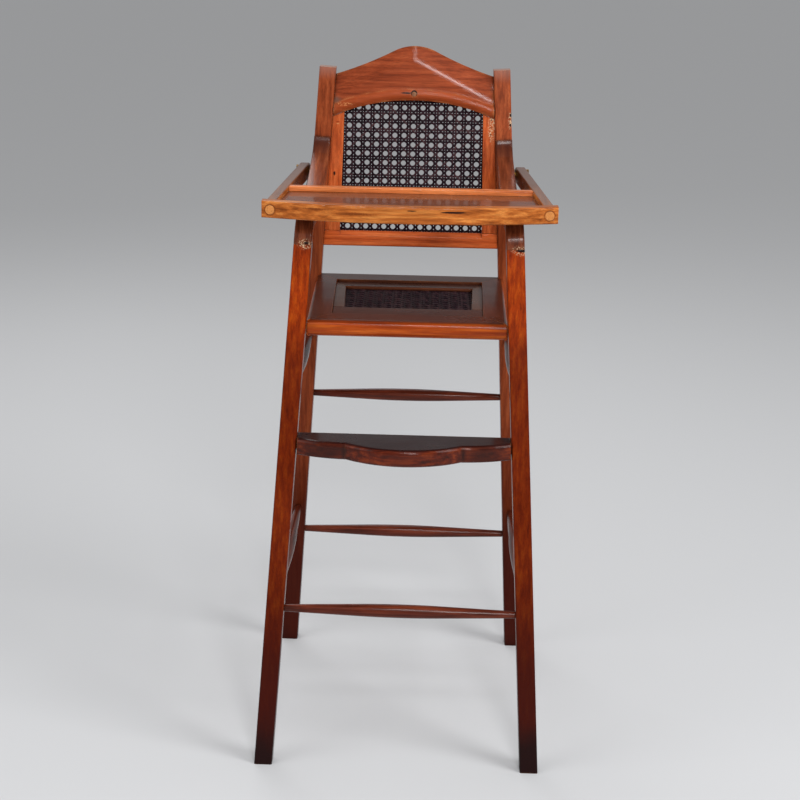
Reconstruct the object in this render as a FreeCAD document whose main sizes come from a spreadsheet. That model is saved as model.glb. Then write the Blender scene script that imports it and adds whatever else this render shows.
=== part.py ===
import FreeCAD, Part
import Sketcher
import math
import os

# High chair with a caned back and seat, a footrest and a tray that swings over the back.
# Millimetres and degrees. X across the chair, front towards -Y, Z up.
# The origin is on the floor, in the middle of the footprint.

DIMENSIONS = {
    # Side frames: front leg, arm and rear post lie in one plane that leans inwards
    "foot_half_spread": 177.0,
    "side_lean": 3.17,
    "side_yaw": 0.57,
    "side_width": 24.0,
    "edge_round": 2.5,
    "floor_trim": 4.0,
    # Front legs
    "front_foot_reach": 215.2,
    "knee_reach": 90.0,
    "knee_height": 691.0,
    "leg_depth": 24.4,
    # Rear posts
    "rear_foot_reach": 213.0,
    "post_bend_reach": 188.6,
    "post_bend_height": 691.0,
    "post_bend_radius": 600.0,
    "post_top_reach": 215.0,
    "post_top_height": 893.5,
    "post_depth": 24.0,
    # Arms
    "arm_top_height": 732.0,
    "arm_thickness": 24.0,
    "arm_knee_radius": 40.0,
    "arm_sweep_start": 20.0,
    "arm_sweep_radius": 440.0,
    "arm_sweep_setback": 19.0,
    "arm_hook_radius": 36.0,
    "arm_hook_angle": 75.0,
    "arm_dowel_radius": 4.5,
    "arm_dowel_length": 30.0,
    # Fits
    "fit_gap": 0.1,
    "shoulder_gap": 0.2,
    "tenon_length": 13.0,
    "tenon_clearance": 0.5,
    # Round stretchers
    "stretcher_tenon_radius": 4.2,
    "stretcher_end_radius": 4.8,
    "stretcher_mid_radius": 9.2,
    "stretcher_swell_half": 55.0,
    "front_stretcher_height": 208.0,
    "rear_upper_height": 405.0,
    "rear_lower_height": 184.0,
    "side_upper_height": 500.0,
    "side_lower_height": 222.0,
    # Footrest board
    "footrest_top": 439.0,
    "footrest_thickness": 23.0,
    "footrest_end_depth": 30.0,
    "footrest_cusp_half": 77.0,
    "footrest_cusp_depth": 47.0,
    "footrest_middle_depth": 74.0,
    "footrest_shoulder_radius": 150.0,
    "footrest_round": 5.0,
    "footrest_tenon_width": 14.0,
    "footrest_tenon_height": 9.0,
    # Seat
    "seat_top": 590.5,
    "seat_thickness": 23.0,
    "seat_front_reach": 108.0,
    "seat_rear_reach": 197.0,
    "seat_rear_lap": 6.5,
    "seat_rail_depth": 43.0,
    "seat_rail_width": 31.0,
    "seat_nose_round": 9.0,
    "seat_edge_round": 4.0,
    "seat_dowel_radius": 2.5,
    "seat_dowel_length": 26.0,
    "slip_ledge": 8.0,
    "slip_drop": 4.0,
    "slip_thickness": 12.0,
    "slip_depth": 27.0,
    "slip_front_depth": 57.0,
    "slip_width": 15.0,
    "slip_round": 2.0,
    # Cane
    "cane_thickness": 2.4,
    "cane_pitch": 13.3,
    "cane_hole_flats": 8.0,
    "cane_border": 2.0,
    "groove_depth": 4.0,
    "seat_cane_rise": 5.0,
    # Back
    "back_base_height": 645.5,
    "back_rake": 5.6,
    "lower_rail_height": 22.0,
    "lower_rail_depth": 18.0,
    "lower_rail_round": 2.0,
    "lower_rail_bevel": 40.0,
    "lower_rail_bevel_rise": 7.0,
    "stile_depth": 16.0,
    "stile_low_width": 22.5,
    "stile_high_width": 13.3,
    "rail_tenon_depth": 8.0,
    "rail_tenon_height": 9.0,
    # Crest rail, drops and rises along the raked back from the tops of the posts
    "crest_thickness": 20.0,
    "arch_crown_drop": 46.3,
    "arch_radius": 292.0,
    "crest_end_drop": 10.3,
    "crest_apex_rise": 31.0,
    "crest_crown_half": 30.0,
    "crest_crown_radius": 66.0,
    "crest_hollow_radius": 515.0,
    "crest_ridge_rise": 11.7,
    "crest_ridge_fall": 27.2,
    "crest_bevel": 15.0,
    "bead_radius": 9.0,
    "bead_proud": 3.5,
    "crest_peg_radius": 3.2,
    "crest_peg_length": 12.0,
    "crest_tenon_drop": 47.3,
    "crest_tenon_height": 26.0,
    # Tray
    "tray_rest_gap": 0.5,
    "tray_height": 22.0,
    "tray_front_reach": 142.0,
    "tray_rear_reach": 7.0,
    "tray_overhang": 4.3,
    "tray_bow": 27.0,
    "tray_front_depth": 16.0,
    "tray_rear_depth": 14.0,
    "tray_edge_round": 2.0,
    "bar_width": 14.0,
    "bar_yaw": 3.77,
    "bar_gap": 4.0,
    "bar_tenon_radius": 6.0,
    "bar_tenon_proud": 0.8,
    "tray_tenon_width": 6.0,
    "tray_tenon_height": 12.0,
    "tray_tenon_length": 8.0,
    "tray_panel_thickness": 6.0,
    "tray_panel_drop": 7.0,
    "panel_pin_radius": 1.5,
    "panel_pin_length": 12.0,
    "panel_pin_spacing": 96.0,
    "panel_pin_proud": 0.8,
    # Pivots
    "pivot_radius": 4.0,
    "pivot_running_gap": 0.05,
    "pivot_grip": 17.0,
    "pivot_head_radius": 8.0,
    "pivot_head_length": 4.0,
    "pivot_head_gap": 1.2,
    "washer_radius": 8.0,
    "washer_thickness": 2.5,
    "washer_gap": 0.9,
}

ALONG_X = (1, 0, 0)
ALONG_Y = (0, 1, 0)
ALONG_Z = (0, 0, 1)
SIDES = {"left": -1, "right": 1}
CANE_GAP_SIDES = 8

doc = FreeCAD.newDocument("HighChair")
sheet = doc.addObject("Spreadsheet::Sheet", "Dimensions")
for row, (alias, number) in enumerate(DIMENSIONS.items(), start=1):
    sheet.set(f"A{row}", alias)
    sheet.set(f"B{row}", str(number))
    sheet.setAlias(f"B{row}", alias)
doc.recompute()


class Size:
    """A length or an angle, known as a number and as an expression on the sheet."""

    def __init__(self, value, text):
        self.value = value
        self.text = text

    def __add__(self, other):
        other = as_size(other)
        return Size(self.value + other.value, f"({self.text} + {other.text})")

    def __sub__(self, other):
        other = as_size(other)
        return Size(self.value - other.value, f"({self.text} - {other.text})")

    def __mul__(self, other):
        other = as_size(other)
        return Size(self.value * other.value, f"({self.text} * {other.text})")

    def __truediv__(self, other):
        other = as_size(other)
        return Size(self.value / other.value, f"({self.text} / {other.text})")

    def __neg__(self):
        return Size(-self.value, f"(-1 * {self.text})")


def as_size(item):
    if isinstance(item, Size):
        return item
    return Size(float(item), f"({item})")


def size(alias):
    return Size(DIMENSIONS[alias], f"Dimensions.{alias}")


def sine(angle):
    return Size(math.sin(math.radians(angle.value)), f"sin({angle.text})")


def cosine(angle):
    return Size(math.cos(math.radians(angle.value)), f"cos({angle.text})")


def tangent(angle):
    return Size(math.tan(math.radians(angle.value)), f"tan({angle.text})")


def arc_sine(ratio):
    return Size(math.degrees(math.asin(ratio.value)), f"(asin({ratio.text}) / 1 deg)")


def arc_tangent(ratio):
    return Size(math.degrees(math.atan(ratio.value)), f"(atan({ratio.text}) / 1 deg)")


def root(number):
    return Size(math.sqrt(number.value), f"sqrt({number.text})")


def beside(radius, offset):
    """Distance from a circle's centre to its chord, where the half chord is offset."""
    return root(radius * radius - offset * offset)


ZERO = as_size(0)
RIGHT_ANGLE = as_size(90)


class Frame:
    """A placement, written as an expression that later moves and turns are added to."""

    def __init__(self, text="placement(vector(0; 0; 0); rotation(vector(0; 0; 1); 0))"):
        self.text = text

    def moved(self, x, y, z):
        spot = "; ".join(as_size(part).text for part in (x, y, z))
        return Frame(f"{self.text} * placement(vector({spot}); rotation(vector(0; 0; 1); 0))")

    def turned(self, axis, angle):
        line = "; ".join(str(part) for part in axis)
        angle = as_size(angle).text
        return Frame(f"{self.text} * placement(vector(0; 0; 0); rotation(vector({line}); {angle}))")

    def hold(self, item):
        item.setExpression("Placement", self.text)


WORLD = Frame()
finished = {}


def finish(node, item):
    """Give a sub-part its label and keep it for export."""
    item.Label = node
    finished[node] = item


# Sketches and features

def new_body(name, frame):
    body = doc.addObject("PartDesign::Body", name)
    frame.hold(body)
    return body


def new_sketch(body, name, plane):
    sketch = body.newObject("Sketcher::SketchObject", name)
    support = [item for item in body.Origin.OriginFeatures if item.Role == plane][0]
    sketch.AttachmentSupport = (support, [""])
    sketch.MapMode = "FlatFace"
    return sketch


def tie(sketch, kind, where, length):
    index = sketch.addConstraint(Sketcher.Constraint(kind, *where, length.value))
    sketch.setExpression(f"Constraints[{index}]", length.text)


def arc_between(start, end, radius, turn):
    """Arc under a half circle; turn is 1 where the outline bends left and -1 where it bends right."""
    across = end - start
    height = math.sqrt(max(radius * radius - across.Length ** 2 / 4, 0))
    left = FreeCAD.Vector(-across.y, across.x, 0).normalize()
    centre = (start + end) / 2 + left * height * turn
    first, last = (start, end) if turn > 0 else (end, start)
    angles = [math.atan2(point.y - centre.y, point.x - centre.x) for point in (first, last)]
    circle = Part.Circle(centre, FreeCAD.Vector(0, 0, 1), radius)
    return Part.ArcOfCircle(circle, *angles)


def draw(body, name, plane, corners, arcs=None):
    """Closed outline through corners; arcs maps a corner's index to the radius and turn of the side after it."""
    arcs = arcs or {}
    sketch = new_sketch(body, name, plane)
    points = [FreeCAD.Vector(u.value, v.value, 0) for u, v in corners]
    ends = []
    for index, start in enumerate(points):
        end = points[(index + 1) % len(points)]
        if index in arcs:
            radius, turn = arcs[index]
            sketch.addGeometry(arc_between(start, end, radius.value, turn), False)
            ends.append((1, 2) if turn > 0 else (2, 1))
        else:
            sketch.addGeometry(Part.LineSegment(start, end), False)
            ends.append((1, 2))
    for index in range(len(points)):
        after = (index + 1) % len(points)
        sketch.addConstraint(Sketcher.Constraint("Coincident", index, ends[index][1], after, ends[after][0]))
    for index, (u, v) in enumerate(corners):
        tie(sketch, "DistanceX", (index, ends[index][0]), u)
        tie(sketch, "DistanceY", (index, ends[index][0]), v)
    for index, (radius, turn) in arcs.items():
        tie(sketch, "Radius", (index,), radius)
    return sketch


def block_corners(centre, width, height):
    u, v = centre
    half_width = width / 2
    half_height = height / 2
    return [
        (u - half_width, v - half_height),
        (u + half_width, v - half_height),
        (u + half_width, v + half_height),
        (u - half_width, v + half_height),
    ]


def pad(body, sketch, length, symmetric=False):
    feature = body.newObject("PartDesign::Pad", f"{sketch.Name}_pad")
    feature.Profile = sketch
    if symmetric:
        feature.SideType = "Symmetric"
    feature.setExpression("Length", length.text)
    sketch.Visibility = False
    return feature


def soften(body, feature, radius, wanted):
    """Round the edges of a feature whose middle points pass the test."""
    doc.recompute()
    names = []
    for number, edge in enumerate(feature.Shape.Edges, start=1):
        middle = edge.valueAt((edge.FirstParameter + edge.LastParameter) / 2)
        if wanted(edge, middle):
            names.append(f"Edge{number}")
    fillet = body.newObject("PartDesign::Fillet", f"{feature.Name}_round")
    fillet.Base = (feature, names)
    fillet.setExpression("Radius", radius.text)
    return fillet


def cylinder(name, frame, radius, length):
    item = doc.addObject("Part::Cylinder", name)
    item.setExpression("Radius", radius.text)
    item.setExpression("Height", length.text)
    frame.hold(item)
    return item


def box(name, frame, length, width, height):
    item = doc.addObject("Part::Box", name)
    item.setExpression("Length", length.text)
    item.setExpression("Width", width.text)
    item.setExpression("Height", height.text)
    frame.hold(item)
    return item


def cut(name, base, tools):
    item = doc.addObject("Part::Cut", name)
    item.Base = base
    if len(tools) == 1:
        item.Tool = tools[0]
    else:
        group = doc.addObject("Part::Compound", f"{name}_cutters")
        group.Links = tools
        item.Tool = group
    return item


def fuse(name, pieces):
    item = doc.addObject("Part::MultiFuse", name)
    item.Shapes = pieces
    return item


def crossways(name, frame, centre, half_length, radius):
    """Cylinder along X, as far each way from the frame's middle as half_length."""
    y, z = centre
    start = frame.moved(-half_length, y, z).turned(ALONG_Y, RIGHT_ANGLE)
    return cylinder(name, start, radius, half_length * 2)


def slot(name, frame, centre, half_length, width, height):
    """Mortise tool along X for a tenon of the given section, grown by the fit."""
    y, z = centre
    gap = size("fit_gap")
    reach = half_length + size("tenon_clearance")
    start = frame.moved(-reach, y - width / 2 - gap, z - height / 2 - gap)
    return box(name, start, reach * 2, width + gap * 2, height + gap * 2)


# Side frames: u runs front to back and v upwards in the leaning plane

side_width = size("side_width")
side_lean = size("side_lean")
side_yaw = size("side_yaw")
fit_gap = size("fit_gap")
shoulder_gap = size("shoulder_gap")
tenon_length = size("tenon_length")


def side_frame(sign):
    frame = WORLD.moved(size("foot_half_spread") * sign, 0, 0)
    return frame.turned(ALONG_Z, side_yaw * sign).turned(ALONG_Y, side_lean * -sign)


def side_x(y, z):
    """Distance of the side frame's middle plane from the chair's middle."""
    return size("foot_half_spread") - tangent(side_yaw) * y - z * tangent(side_lean) / cosine(side_yaw)


def inner_x(y, z):
    """Distance of the side frame's inner face from the chair's middle."""
    return side_x(y, z) - side_width / 2 / cosine(side_lean) / cosine(side_yaw)


def outer_x(y, z):
    return side_x(y, z) + side_width / 2 / cosine(side_lean) / cosine(side_yaw)


def side_y(u, z):
    return u * cosine(side_yaw) - z * tangent(side_lean) * sine(side_yaw)


def side_v(z):
    return z / cosine(side_lean)


leg_slope = (size("front_foot_reach") - size("knee_reach")) / size("knee_height")
leg_rake = arc_tangent(leg_slope)
post_lower_slope = (size("rear_foot_reach") - size("post_bend_reach")) / size("post_bend_height")
post_rise = size("post_top_height") - size("post_bend_height")
post_upper_slope = (size("post_top_reach") - size("post_bend_reach")) / post_rise
post_rake = arc_tangent(post_upper_slope)


def leg_u(v):
    return leg_slope * v - size("front_foot_reach")


def post_u(v):
    return size("rear_foot_reach") - post_lower_slope * v


def post_front_u(v):
    """Front face of the post above its bend."""
    return size("post_bend_reach") + post_upper_slope * (v - size("post_bend_height")) - size("post_depth") / 2


def front_leg_y(z):
    return side_y(leg_u(side_v(z)), z)


def post_y(z):
    return side_y(post_u(side_v(z)), z)


def lengthwise(edge, middle):
    """Edges that run along a leg or a post, on its two broad faces."""
    on_face = edge.BoundBox.XLength < fit_gap.value
    return on_face and edge.BoundBox.ZLength > DIMENSIONS["leg_depth"]


def front_leg_blank(side, frame):
    body = new_body(f"front_leg_{side}_blank", frame)
    half = size("leg_depth") / 2
    low = -size("floor_trim")
    high = size("knee_height") - shoulder_gap / 2
    corners = [
        (leg_u(low) - half, low),
        (leg_u(low) + half, low),
        (leg_u(high) + half, high),
        (leg_u(high) - half, high),
    ]
    outline = draw(body, f"front_leg_{side}_outline", "YZ_Plane", corners)
    stick = pad(body, outline, side_width, symmetric=True)
    soften(body, stick, size("edge_round"), lengthwise)
    return body


def rear_post_blank(side, frame):
    body = new_body(f"rear_post_{side}_blank", frame)
    half = size("post_depth") / 2
    low = -size("floor_trim")
    high = size("post_top_height")
    bend = size("post_bend_height")
    lower_rake = arc_tangent(post_lower_slope)
    reach = size("post_bend_radius") * tangent((lower_rake + post_rake) / 2)
    below = (size("post_bend_reach") + reach * sine(lower_rake), bend - reach * cosine(lower_rake))
    above = (size("post_bend_reach") + reach * sine(post_rake), bend + reach * cosine(post_rake))
    corners = [
        (post_u(low) - half, low),
        (below[0] - half, below[1]),
        (above[0] - half, above[1]),
        (size("post_top_reach") - half, high),
        (size("post_top_reach") + half, high),
        (above[0] + half, above[1]),
        (below[0] + half, below[1]),
        (post_u(low) + half, low),
    ]
    radius = size("post_bend_radius")
    arcs = {1: (radius, -1), 5: (radius, 1)}
    outline = draw(body, f"rear_post_{side}_outline", "YZ_Plane", corners, arcs)
    stick = pad(body, outline, side_width, symmetric=True)
    soften(body, stick, size("edge_round"), lengthwise)
    return body


# The arm's upper line is level, then sweeps up to the post; its lower line keeps the thickness

sweep_from = -size("arm_sweep_start")
sweep_to = post_front_u(size("arm_top_height")) - size("arm_sweep_setback")
sweep_centre = size("arm_top_height") + size("arm_sweep_radius")
sweep_run = sweep_to - sweep_from
sweep_angle = arc_sine(sweep_run / size("arm_sweep_radius"))
hook_angle = size("arm_hook_angle")
hook_u = sweep_to + size("arm_hook_radius") * (sine(hook_angle) - sine(sweep_angle))
hook_rise = size("arm_hook_radius") * (cosine(sweep_angle) - cosine(hook_angle))
hook_v = sweep_centre - beside(size("arm_sweep_radius"), sweep_run) + hook_rise


def arm_foot_on_post():
    """Height at which the arm's lower line meets the post's front face."""
    outer = size("arm_sweep_radius") + size("arm_thickness")
    offset = post_front_u(ZERO) - shoulder_gap - sweep_from
    square = post_upper_slope * post_upper_slope + 1
    linear = (post_upper_slope * offset - sweep_centre) * 2
    constant = offset * offset + sweep_centre * sweep_centre - outer * outer
    return (-linear - root(linear * linear - square * constant * 4)) / (square * 2)


arm_low_v = arm_foot_on_post()


def arm_blank(side, frame):
    body = new_body(f"arm_{side}_blank", frame)
    half = size("leg_depth") / 2
    top = size("arm_top_height")
    under = top - size("arm_thickness")
    joint = size("knee_height") + shoulder_gap / 2
    outer = size("arm_knee_radius")
    inner = outer - size("arm_thickness")
    reach = tangent((RIGHT_ANGLE - leg_rake) / 2)
    outer_corner = leg_u(top) - half
    inner_corner = leg_u(under) + half
    outer_reach = outer * reach
    inner_reach = inner * reach
    lower_sweep = size("arm_sweep_radius") + size("arm_thickness")
    corners = [
        (leg_u(joint) + half, joint),
        (inner_corner - inner_reach * sine(leg_rake), under - inner_reach * cosine(leg_rake)),
        (inner_corner + inner_reach, under),
        (sweep_from, under),
        (post_front_u(arm_low_v) - shoulder_gap, arm_low_v),
        (post_front_u(hook_v) - shoulder_gap, hook_v),
        (hook_u, hook_v),
        (sweep_to, hook_v - hook_rise),
        (sweep_from, top),
        (outer_corner + outer_reach, top),
        (outer_corner - outer_reach * sine(leg_rake), top - outer_reach * cosine(leg_rake)),
        (leg_u(joint) - half, joint),
    ]
    arcs = {
        1: (inner, -1),
        3: (lower_sweep, 1),
        6: (size("arm_hook_radius"), -1),
        7: (size("arm_sweep_radius"), -1),
        9: (outer, 1),
    }
    outline = draw(body, f"arm_{side}_outline", "YZ_Plane", corners, arcs)
    stick = pad(body, outline, side_width, symmetric=True)

    def between_ends(edge, middle):
        on_face = edge.BoundBox.XLength < fit_gap.value
        return on_face and middle.y < hook_u.value and middle.z > joint.value + fit_gap.value

    soften(body, stick, size("edge_round"), between_ends)
    return body


def arm_dowel_frames(frame):
    """Middle of the dowel at the knee and of the one at the post, each with Z along the dowel."""
    knee = frame.moved(0, leg_u(size("knee_height")), size("knee_height")).turned(ALONG_X, -leg_rake)
    low = arm_low_v + size("arm_dowel_radius") * 2
    post = frame.moved(0, post_front_u(low), low).turned(ALONG_X, -(RIGHT_ANGLE + post_rake))
    return {"knee": knee, "post": post}


def arm_dowel(name, frame, grow):
    length = size("arm_dowel_length") + grow * 2
    return cylinder(name, frame.moved(0, 0, -length / 2), size("arm_dowel_radius") + grow, length)


# Round stretchers with a swelling middle

def stretcher_body(name, frame, half_length):
    """Turned stick along the frame's X: two tapers, a swelling middle and tenons beyond half_length."""
    body = new_body(name, frame)
    end = size("stretcher_end_radius")
    tenon = size("stretcher_tenon_radius")
    swell = size("stretcher_mid_radius") - end
    swell_half = size("stretcher_swell_half")
    taper = half_length - swell_half
    taper_rise = swell * taper / (half_length - swell_half / 2)
    crown = swell - taper_rise
    tip = half_length + tenon_length
    corners = [
        (-tip, ZERO),
        (tip, ZERO),
        (tip, tenon),
        (half_length, tenon),
        (half_length, end),
        (swell_half, end + taper_rise),
        (-swell_half, end + taper_rise),
        (-half_length, end),
        (-half_length, tenon),
        (-tip, tenon),
    ]
    radius = (swell_half * swell_half + crown * crown) / (crown * 2)
    outline = draw(body, f"{name}_profile", "XY_Plane", corners, {5: (radius, 1)})
    turned = body.newObject("PartDesign::Revolution", f"{name}_turned")
    turned.Profile = outline
    turned.ReferenceAxis = (outline, ["H_Axis"])
    outline.Visibility = False
    return body


def cross_stretcher(name, y, z):
    """Stretcher from side to side, and the bore for its tenons."""
    half_length = inner_x(y, z) - shoulder_gap - size("stretcher_end_radius") * tangent(side_lean)
    finish(name, stretcher_body(name, WORLD.moved(0, y, z), half_length))
    reach = half_length + tenon_length + size("tenon_clearance")
    return crossways(f"{name}_bore", WORLD, (y, z), reach, size("stretcher_tenon_radius") + fit_gap)


def side_stretcher(name, frame, v):
    """Stretcher from the front leg to the rear post of one side, and the bore for its tenons."""
    front = leg_u(v) + size("leg_depth") / 2
    rear = post_u(v) - size("post_depth") / 2
    half_length = (rear - front) / 2 - shoulder_gap - size("stretcher_end_radius") * leg_slope
    middle = frame.moved(0, (front + rear) / 2, v).turned(ALONG_Z, RIGHT_ANGLE)
    finish(name, stretcher_body(name, middle, half_length))
    reach = half_length + tenon_length + size("tenon_clearance")
    return crossways(f"{name}_bore", middle, (ZERO, ZERO), reach, size("stretcher_tenon_radius") + fit_gap)


# Footrest board

footrest_middle = size("footrest_top") - size("footrest_thickness") / 2
footrest_y = front_leg_y(footrest_middle)
footrest_half = inner_x(footrest_y, size("footrest_top")) - shoulder_gap


def footrest():
    """Board with a bowed front between two cusps, tenoned into the front legs."""
    node = "footrest_board"
    body = new_body(node, WORLD.moved(0, footrest_y, footrest_middle))
    rear = size("footrest_end_depth") / 2
    cusp = size("footrest_cusp_half")
    cusp_y = rear - size("footrest_cusp_depth")
    bow = size("footrest_middle_depth") - size("footrest_cusp_depth")
    bow_radius = (cusp * cusp + bow * bow) / (bow * 2)
    corners = [
        (footrest_half, rear),
        (-footrest_half, rear),
        (-footrest_half, -rear),
        (-cusp, cusp_y),
        (cusp, cusp_y),
        (footrest_half, -rear),
    ]
    shoulder = size("footrest_shoulder_radius")
    arcs = {2: (shoulder, 1), 3: (bow_radius, 1), 4: (shoulder, 1)}
    outline = draw(body, "footrest_outline", "XY_Plane", corners, arcs)
    board = pad(body, outline, size("footrest_thickness"), symmetric=True)

    def front_edge(edge, middle):
        half = DIMENSIONS["footrest_thickness"] / 2
        level = abs(abs(middle.z) - half) < fit_gap.value
        return level and middle.y < -rear.value and edge.Length > half * 2

    soften(body, board, size("footrest_round"), front_edge)
    tenon_width = size("footrest_tenon_width")
    tenon_height = size("footrest_tenon_height")
    section = block_corners((ZERO, ZERO), tenon_width, tenon_height)
    tenon = draw(body, "footrest_tenon", "YZ_Plane", section)
    tip = footrest_half + tenon_length
    pad(body, tenon, tip * 2, symmetric=True)
    finish(node, body)
    return slot("footrest_mortise", WORLD, (footrest_y, footrest_middle), tip, tenon_width, tenon_height)


# Seat: mitred rails, a lower slip frame on their ledges, and cane in the slips' grooves

seat_bottom = size("seat_top") - size("seat_thickness")
seat_middle = size("seat_top") - size("seat_thickness") / 2
leg_rear_y = front_leg_y(size("seat_top")) + size("leg_depth") / 2
seat_front_half = inner_x(leg_rear_y, size("seat_top")) - shoulder_gap
post_front_y = post_y(size("seat_top")) - size("post_depth") / 2
seat_rear_half = inner_x(post_front_y, size("seat_top")) + size("seat_rear_lap")


def seat_corner(inset_width, inset_depth, end):
    """Right-hand corner of the seat's plan, set in from its edges; end is front or rear."""
    if end == "front":
        return seat_front_half - inset_width, inset_depth - size("seat_front_reach")
    return seat_rear_half - inset_width, size("seat_rear_reach") - inset_depth


def mirrored(corner):
    return -corner[0], corner[1]


def frame_sides(outer, inner, front_across=False):
    """Plans of the four sides between two nested outlines, mitred, or with the front one right across."""
    outer_front, outer_rear = outer
    inner_front, inner_rear = inner
    gap = shoulder_gap / 2
    plans = {
        "front": [
            (-outer_front[0] + gap, outer_front[1]),
            (outer_front[0] - gap, outer_front[1]),
            (inner_front[0] - gap, inner_front[1]),
            (-inner_front[0] + gap, inner_front[1]),
        ],
        "rear": [
            (inner_rear[0] - gap, inner_rear[1]),
            (outer_rear[0] - gap, outer_rear[1]),
            (-outer_rear[0] + gap, outer_rear[1]),
            (-inner_rear[0] + gap, inner_rear[1]),
        ],
        "right": [
            (outer_front[0], outer_front[1] + gap),
            (outer_rear[0], outer_rear[1] - gap),
            (inner_rear[0], inner_rear[1] - gap),
            (inner_front[0], inner_front[1] + gap),
        ],
        "left": [
            (-inner_front[0], inner_front[1] + gap),
            (-inner_rear[0], inner_rear[1] - gap),
            (-outer_rear[0], outer_rear[1] - gap),
            (-outer_front[0], outer_front[1] + gap),
        ],
    }
    if front_across:
        share = (inner_front[1] - outer_front[1]) / (outer_rear[1] - outer_front[1])
        across = outer_front[0] + (outer_rear[0] - outer_front[0]) * share
        plans["front"][2:] = [(across - gap, inner_front[1]), (-across + gap, inner_front[1])]
        plans["right"][0] = (across, inner_front[1] + gap)
        plans["right"][3] = (inner_front[0], inner_front[1] + gap)
        plans["left"][0] = mirrored(plans["right"][3])
        plans["left"][3] = mirrored(plans["right"][0])
    return plans


def seat_outline(inset_width, inset_depth, front_inset=ZERO):
    """Right-hand corners of a plan set in from the seat's edges; the front may be set in further."""
    front = seat_corner(inset_width, inset_depth + front_inset, "front")
    return front, seat_corner(inset_width, inset_depth, "rear")


def plan_block(name, corners, bottom, height):
    """Prism on a plan outline."""
    body = new_body(name, WORLD.moved(0, 0, bottom))
    outline = draw(body, f"{name}_plan", "XY_Plane", corners)
    return body, pad(body, outline, height)


def whole_plan(outline):
    front, rear = outline
    return [mirrored(front), front, rear, mirrored(rear)]


def post_notch(side, frame):
    """Room for a rear post in the corner of the seat."""
    v = side_v(seat_middle)
    depth = size("post_depth") + shoulder_gap * 2
    width = side_width + shoulder_gap * 2
    height = size("seat_thickness") * 2
    corner = frame.moved(-width / 2, post_u(v) - depth / 2, v).turned(ALONG_X, arc_tangent(post_lower_slope))
    return box(f"post_notch_{side}", corner.moved(0, 0, -height / 2), width, depth, height)


def seat_dowel_spots():
    """Y of the dowels into the front legs and into the rear posts, where rail and leg stand side by side."""
    leg_rear = front_leg_y(seat_middle) + size("leg_depth") / 2
    post_front = post_y(seat_middle) - size("post_depth") / 2
    return {"front": (leg_rear - size("seat_front_reach")) / 2, "rear": (post_front + size("seat_rear_reach")) / 2}


def seat_dowel(name, sign, y, grow):
    length = size("seat_dowel_length") + grow * 2
    start = inner_x(y, seat_middle) * sign - length / 2
    frame = WORLD.moved(start, y, seat_middle).turned(ALONG_Y, RIGHT_ANGLE)
    return cylinder(name, frame, size("seat_dowel_radius") + grow, length)


def seat_rails(dowel_holes, notches):
    """Four rails; the slip frame's pocket leaves a ledge inside them."""
    ledge = size("slip_ledge")
    outer = seat_outline(ZERO, ZERO)
    boundary = (size("seat_rail_width"), size("seat_rail_depth"))
    inner = seat_outline(boundary[0] + ledge, boundary[1] + ledge)
    pocket_bottom = size("seat_top") - size("slip_drop") - size("slip_thickness") - fit_gap
    pocket_plan = whole_plan(seat_outline(boundary[0] - shoulder_gap / 2, boundary[1] - shoulder_gap / 2))
    pocket, _ = plan_block("slip_pocket", pocket_plan, pocket_bottom, size("seat_thickness"))
    for end, corners in frame_sides(outer, inner).items():
        node = f"seat_{end}_rail" if end in ("front", "rear") else f"seat_side_rail_{end}"
        body, block = plan_block(f"{node}_blank", corners, seat_bottom, size("seat_thickness"))
        nose = size("seat_nose_round") if end == "front" else size("seat_edge_round")
        edge_line = corners[0:2] if end in ("front", "right") else corners[1:3]
        if end == "left":
            edge_line = corners[2:4]
        low_y, high_y = sorted(point[1].value for point in edge_line)
        low_x, high_x = sorted(point[0].value for point in edge_line)

        def outside(edge, middle):
            level = edge.BoundBox.ZLength < fit_gap.value
            in_y = low_y - fit_gap.value <= middle.y <= high_y + fit_gap.value
            in_x = low_x - fit_gap.value <= middle.x <= high_x + fit_gap.value
            return level and in_y and in_x

        soften(body, block, nose, outside)
        tools = [pocket]
        if end == "front":
            tools += dowel_holes["front"]
        elif end == "rear":
            tools += dowel_holes["rear"] + notches
        else:
            tools += dowel_holes["front"] + dowel_holes["rear"] + notches
        finish(node, cut(node, body, tools))


def seat_slips():
    """Four slips in the rails' pocket, the front one a wide board, grooved for the cane."""
    boundary = (size("seat_rail_width"), size("seat_rail_depth"))
    opening = (boundary[0] + size("slip_width"), boundary[1] + size("slip_depth"))
    gap = shoulder_gap / 2
    outer = seat_outline(boundary[0] + gap, boundary[1] + gap)
    front_inset = size("slip_front_depth") - size("slip_depth")
    inner = seat_outline(*opening, front_inset)
    bottom = size("seat_top") - size("slip_drop") - size("slip_thickness")
    cane_bottom = bottom + size("seat_cane_rise")
    depth = size("groove_depth")
    set_in = [inset - depth - fit_gap for inset in opening]
    groove_plan = whole_plan(seat_outline(*set_in, front_inset))
    groove_height = size("cane_thickness") + fit_gap * 2
    groove, _ = plan_block("seat_cane_groove", groove_plan, cane_bottom - fit_gap, groove_height)
    for end, corners in frame_sides(outer, inner, front_across=True).items():
        node = f"seat_slip_{end}"
        body, block = plan_block(f"{node}_blank", corners, bottom, size("slip_thickness"))

        def inner_top(edge, middle):
            high = abs(middle.z - DIMENSIONS["slip_thickness"]) < fit_gap.value
            front, rear = inner
            across = abs(middle.x) < fit_gap.value
            inside = front[1].value - fit_gap.value < middle.y < rear[1].value + fit_gap.value
            endways = abs(abs(middle.x) - (front[0].value + rear[0].value) / 2) < fit_gap.value
            return high and ((across and inside) or endways)

        soften(body, block, size("slip_round"), inner_top)
        finish(node, cut(node, body, [groove]))
    return inner, cane_bottom


# Cane: one sheet with eight-sided gaps on a square pitch

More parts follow.
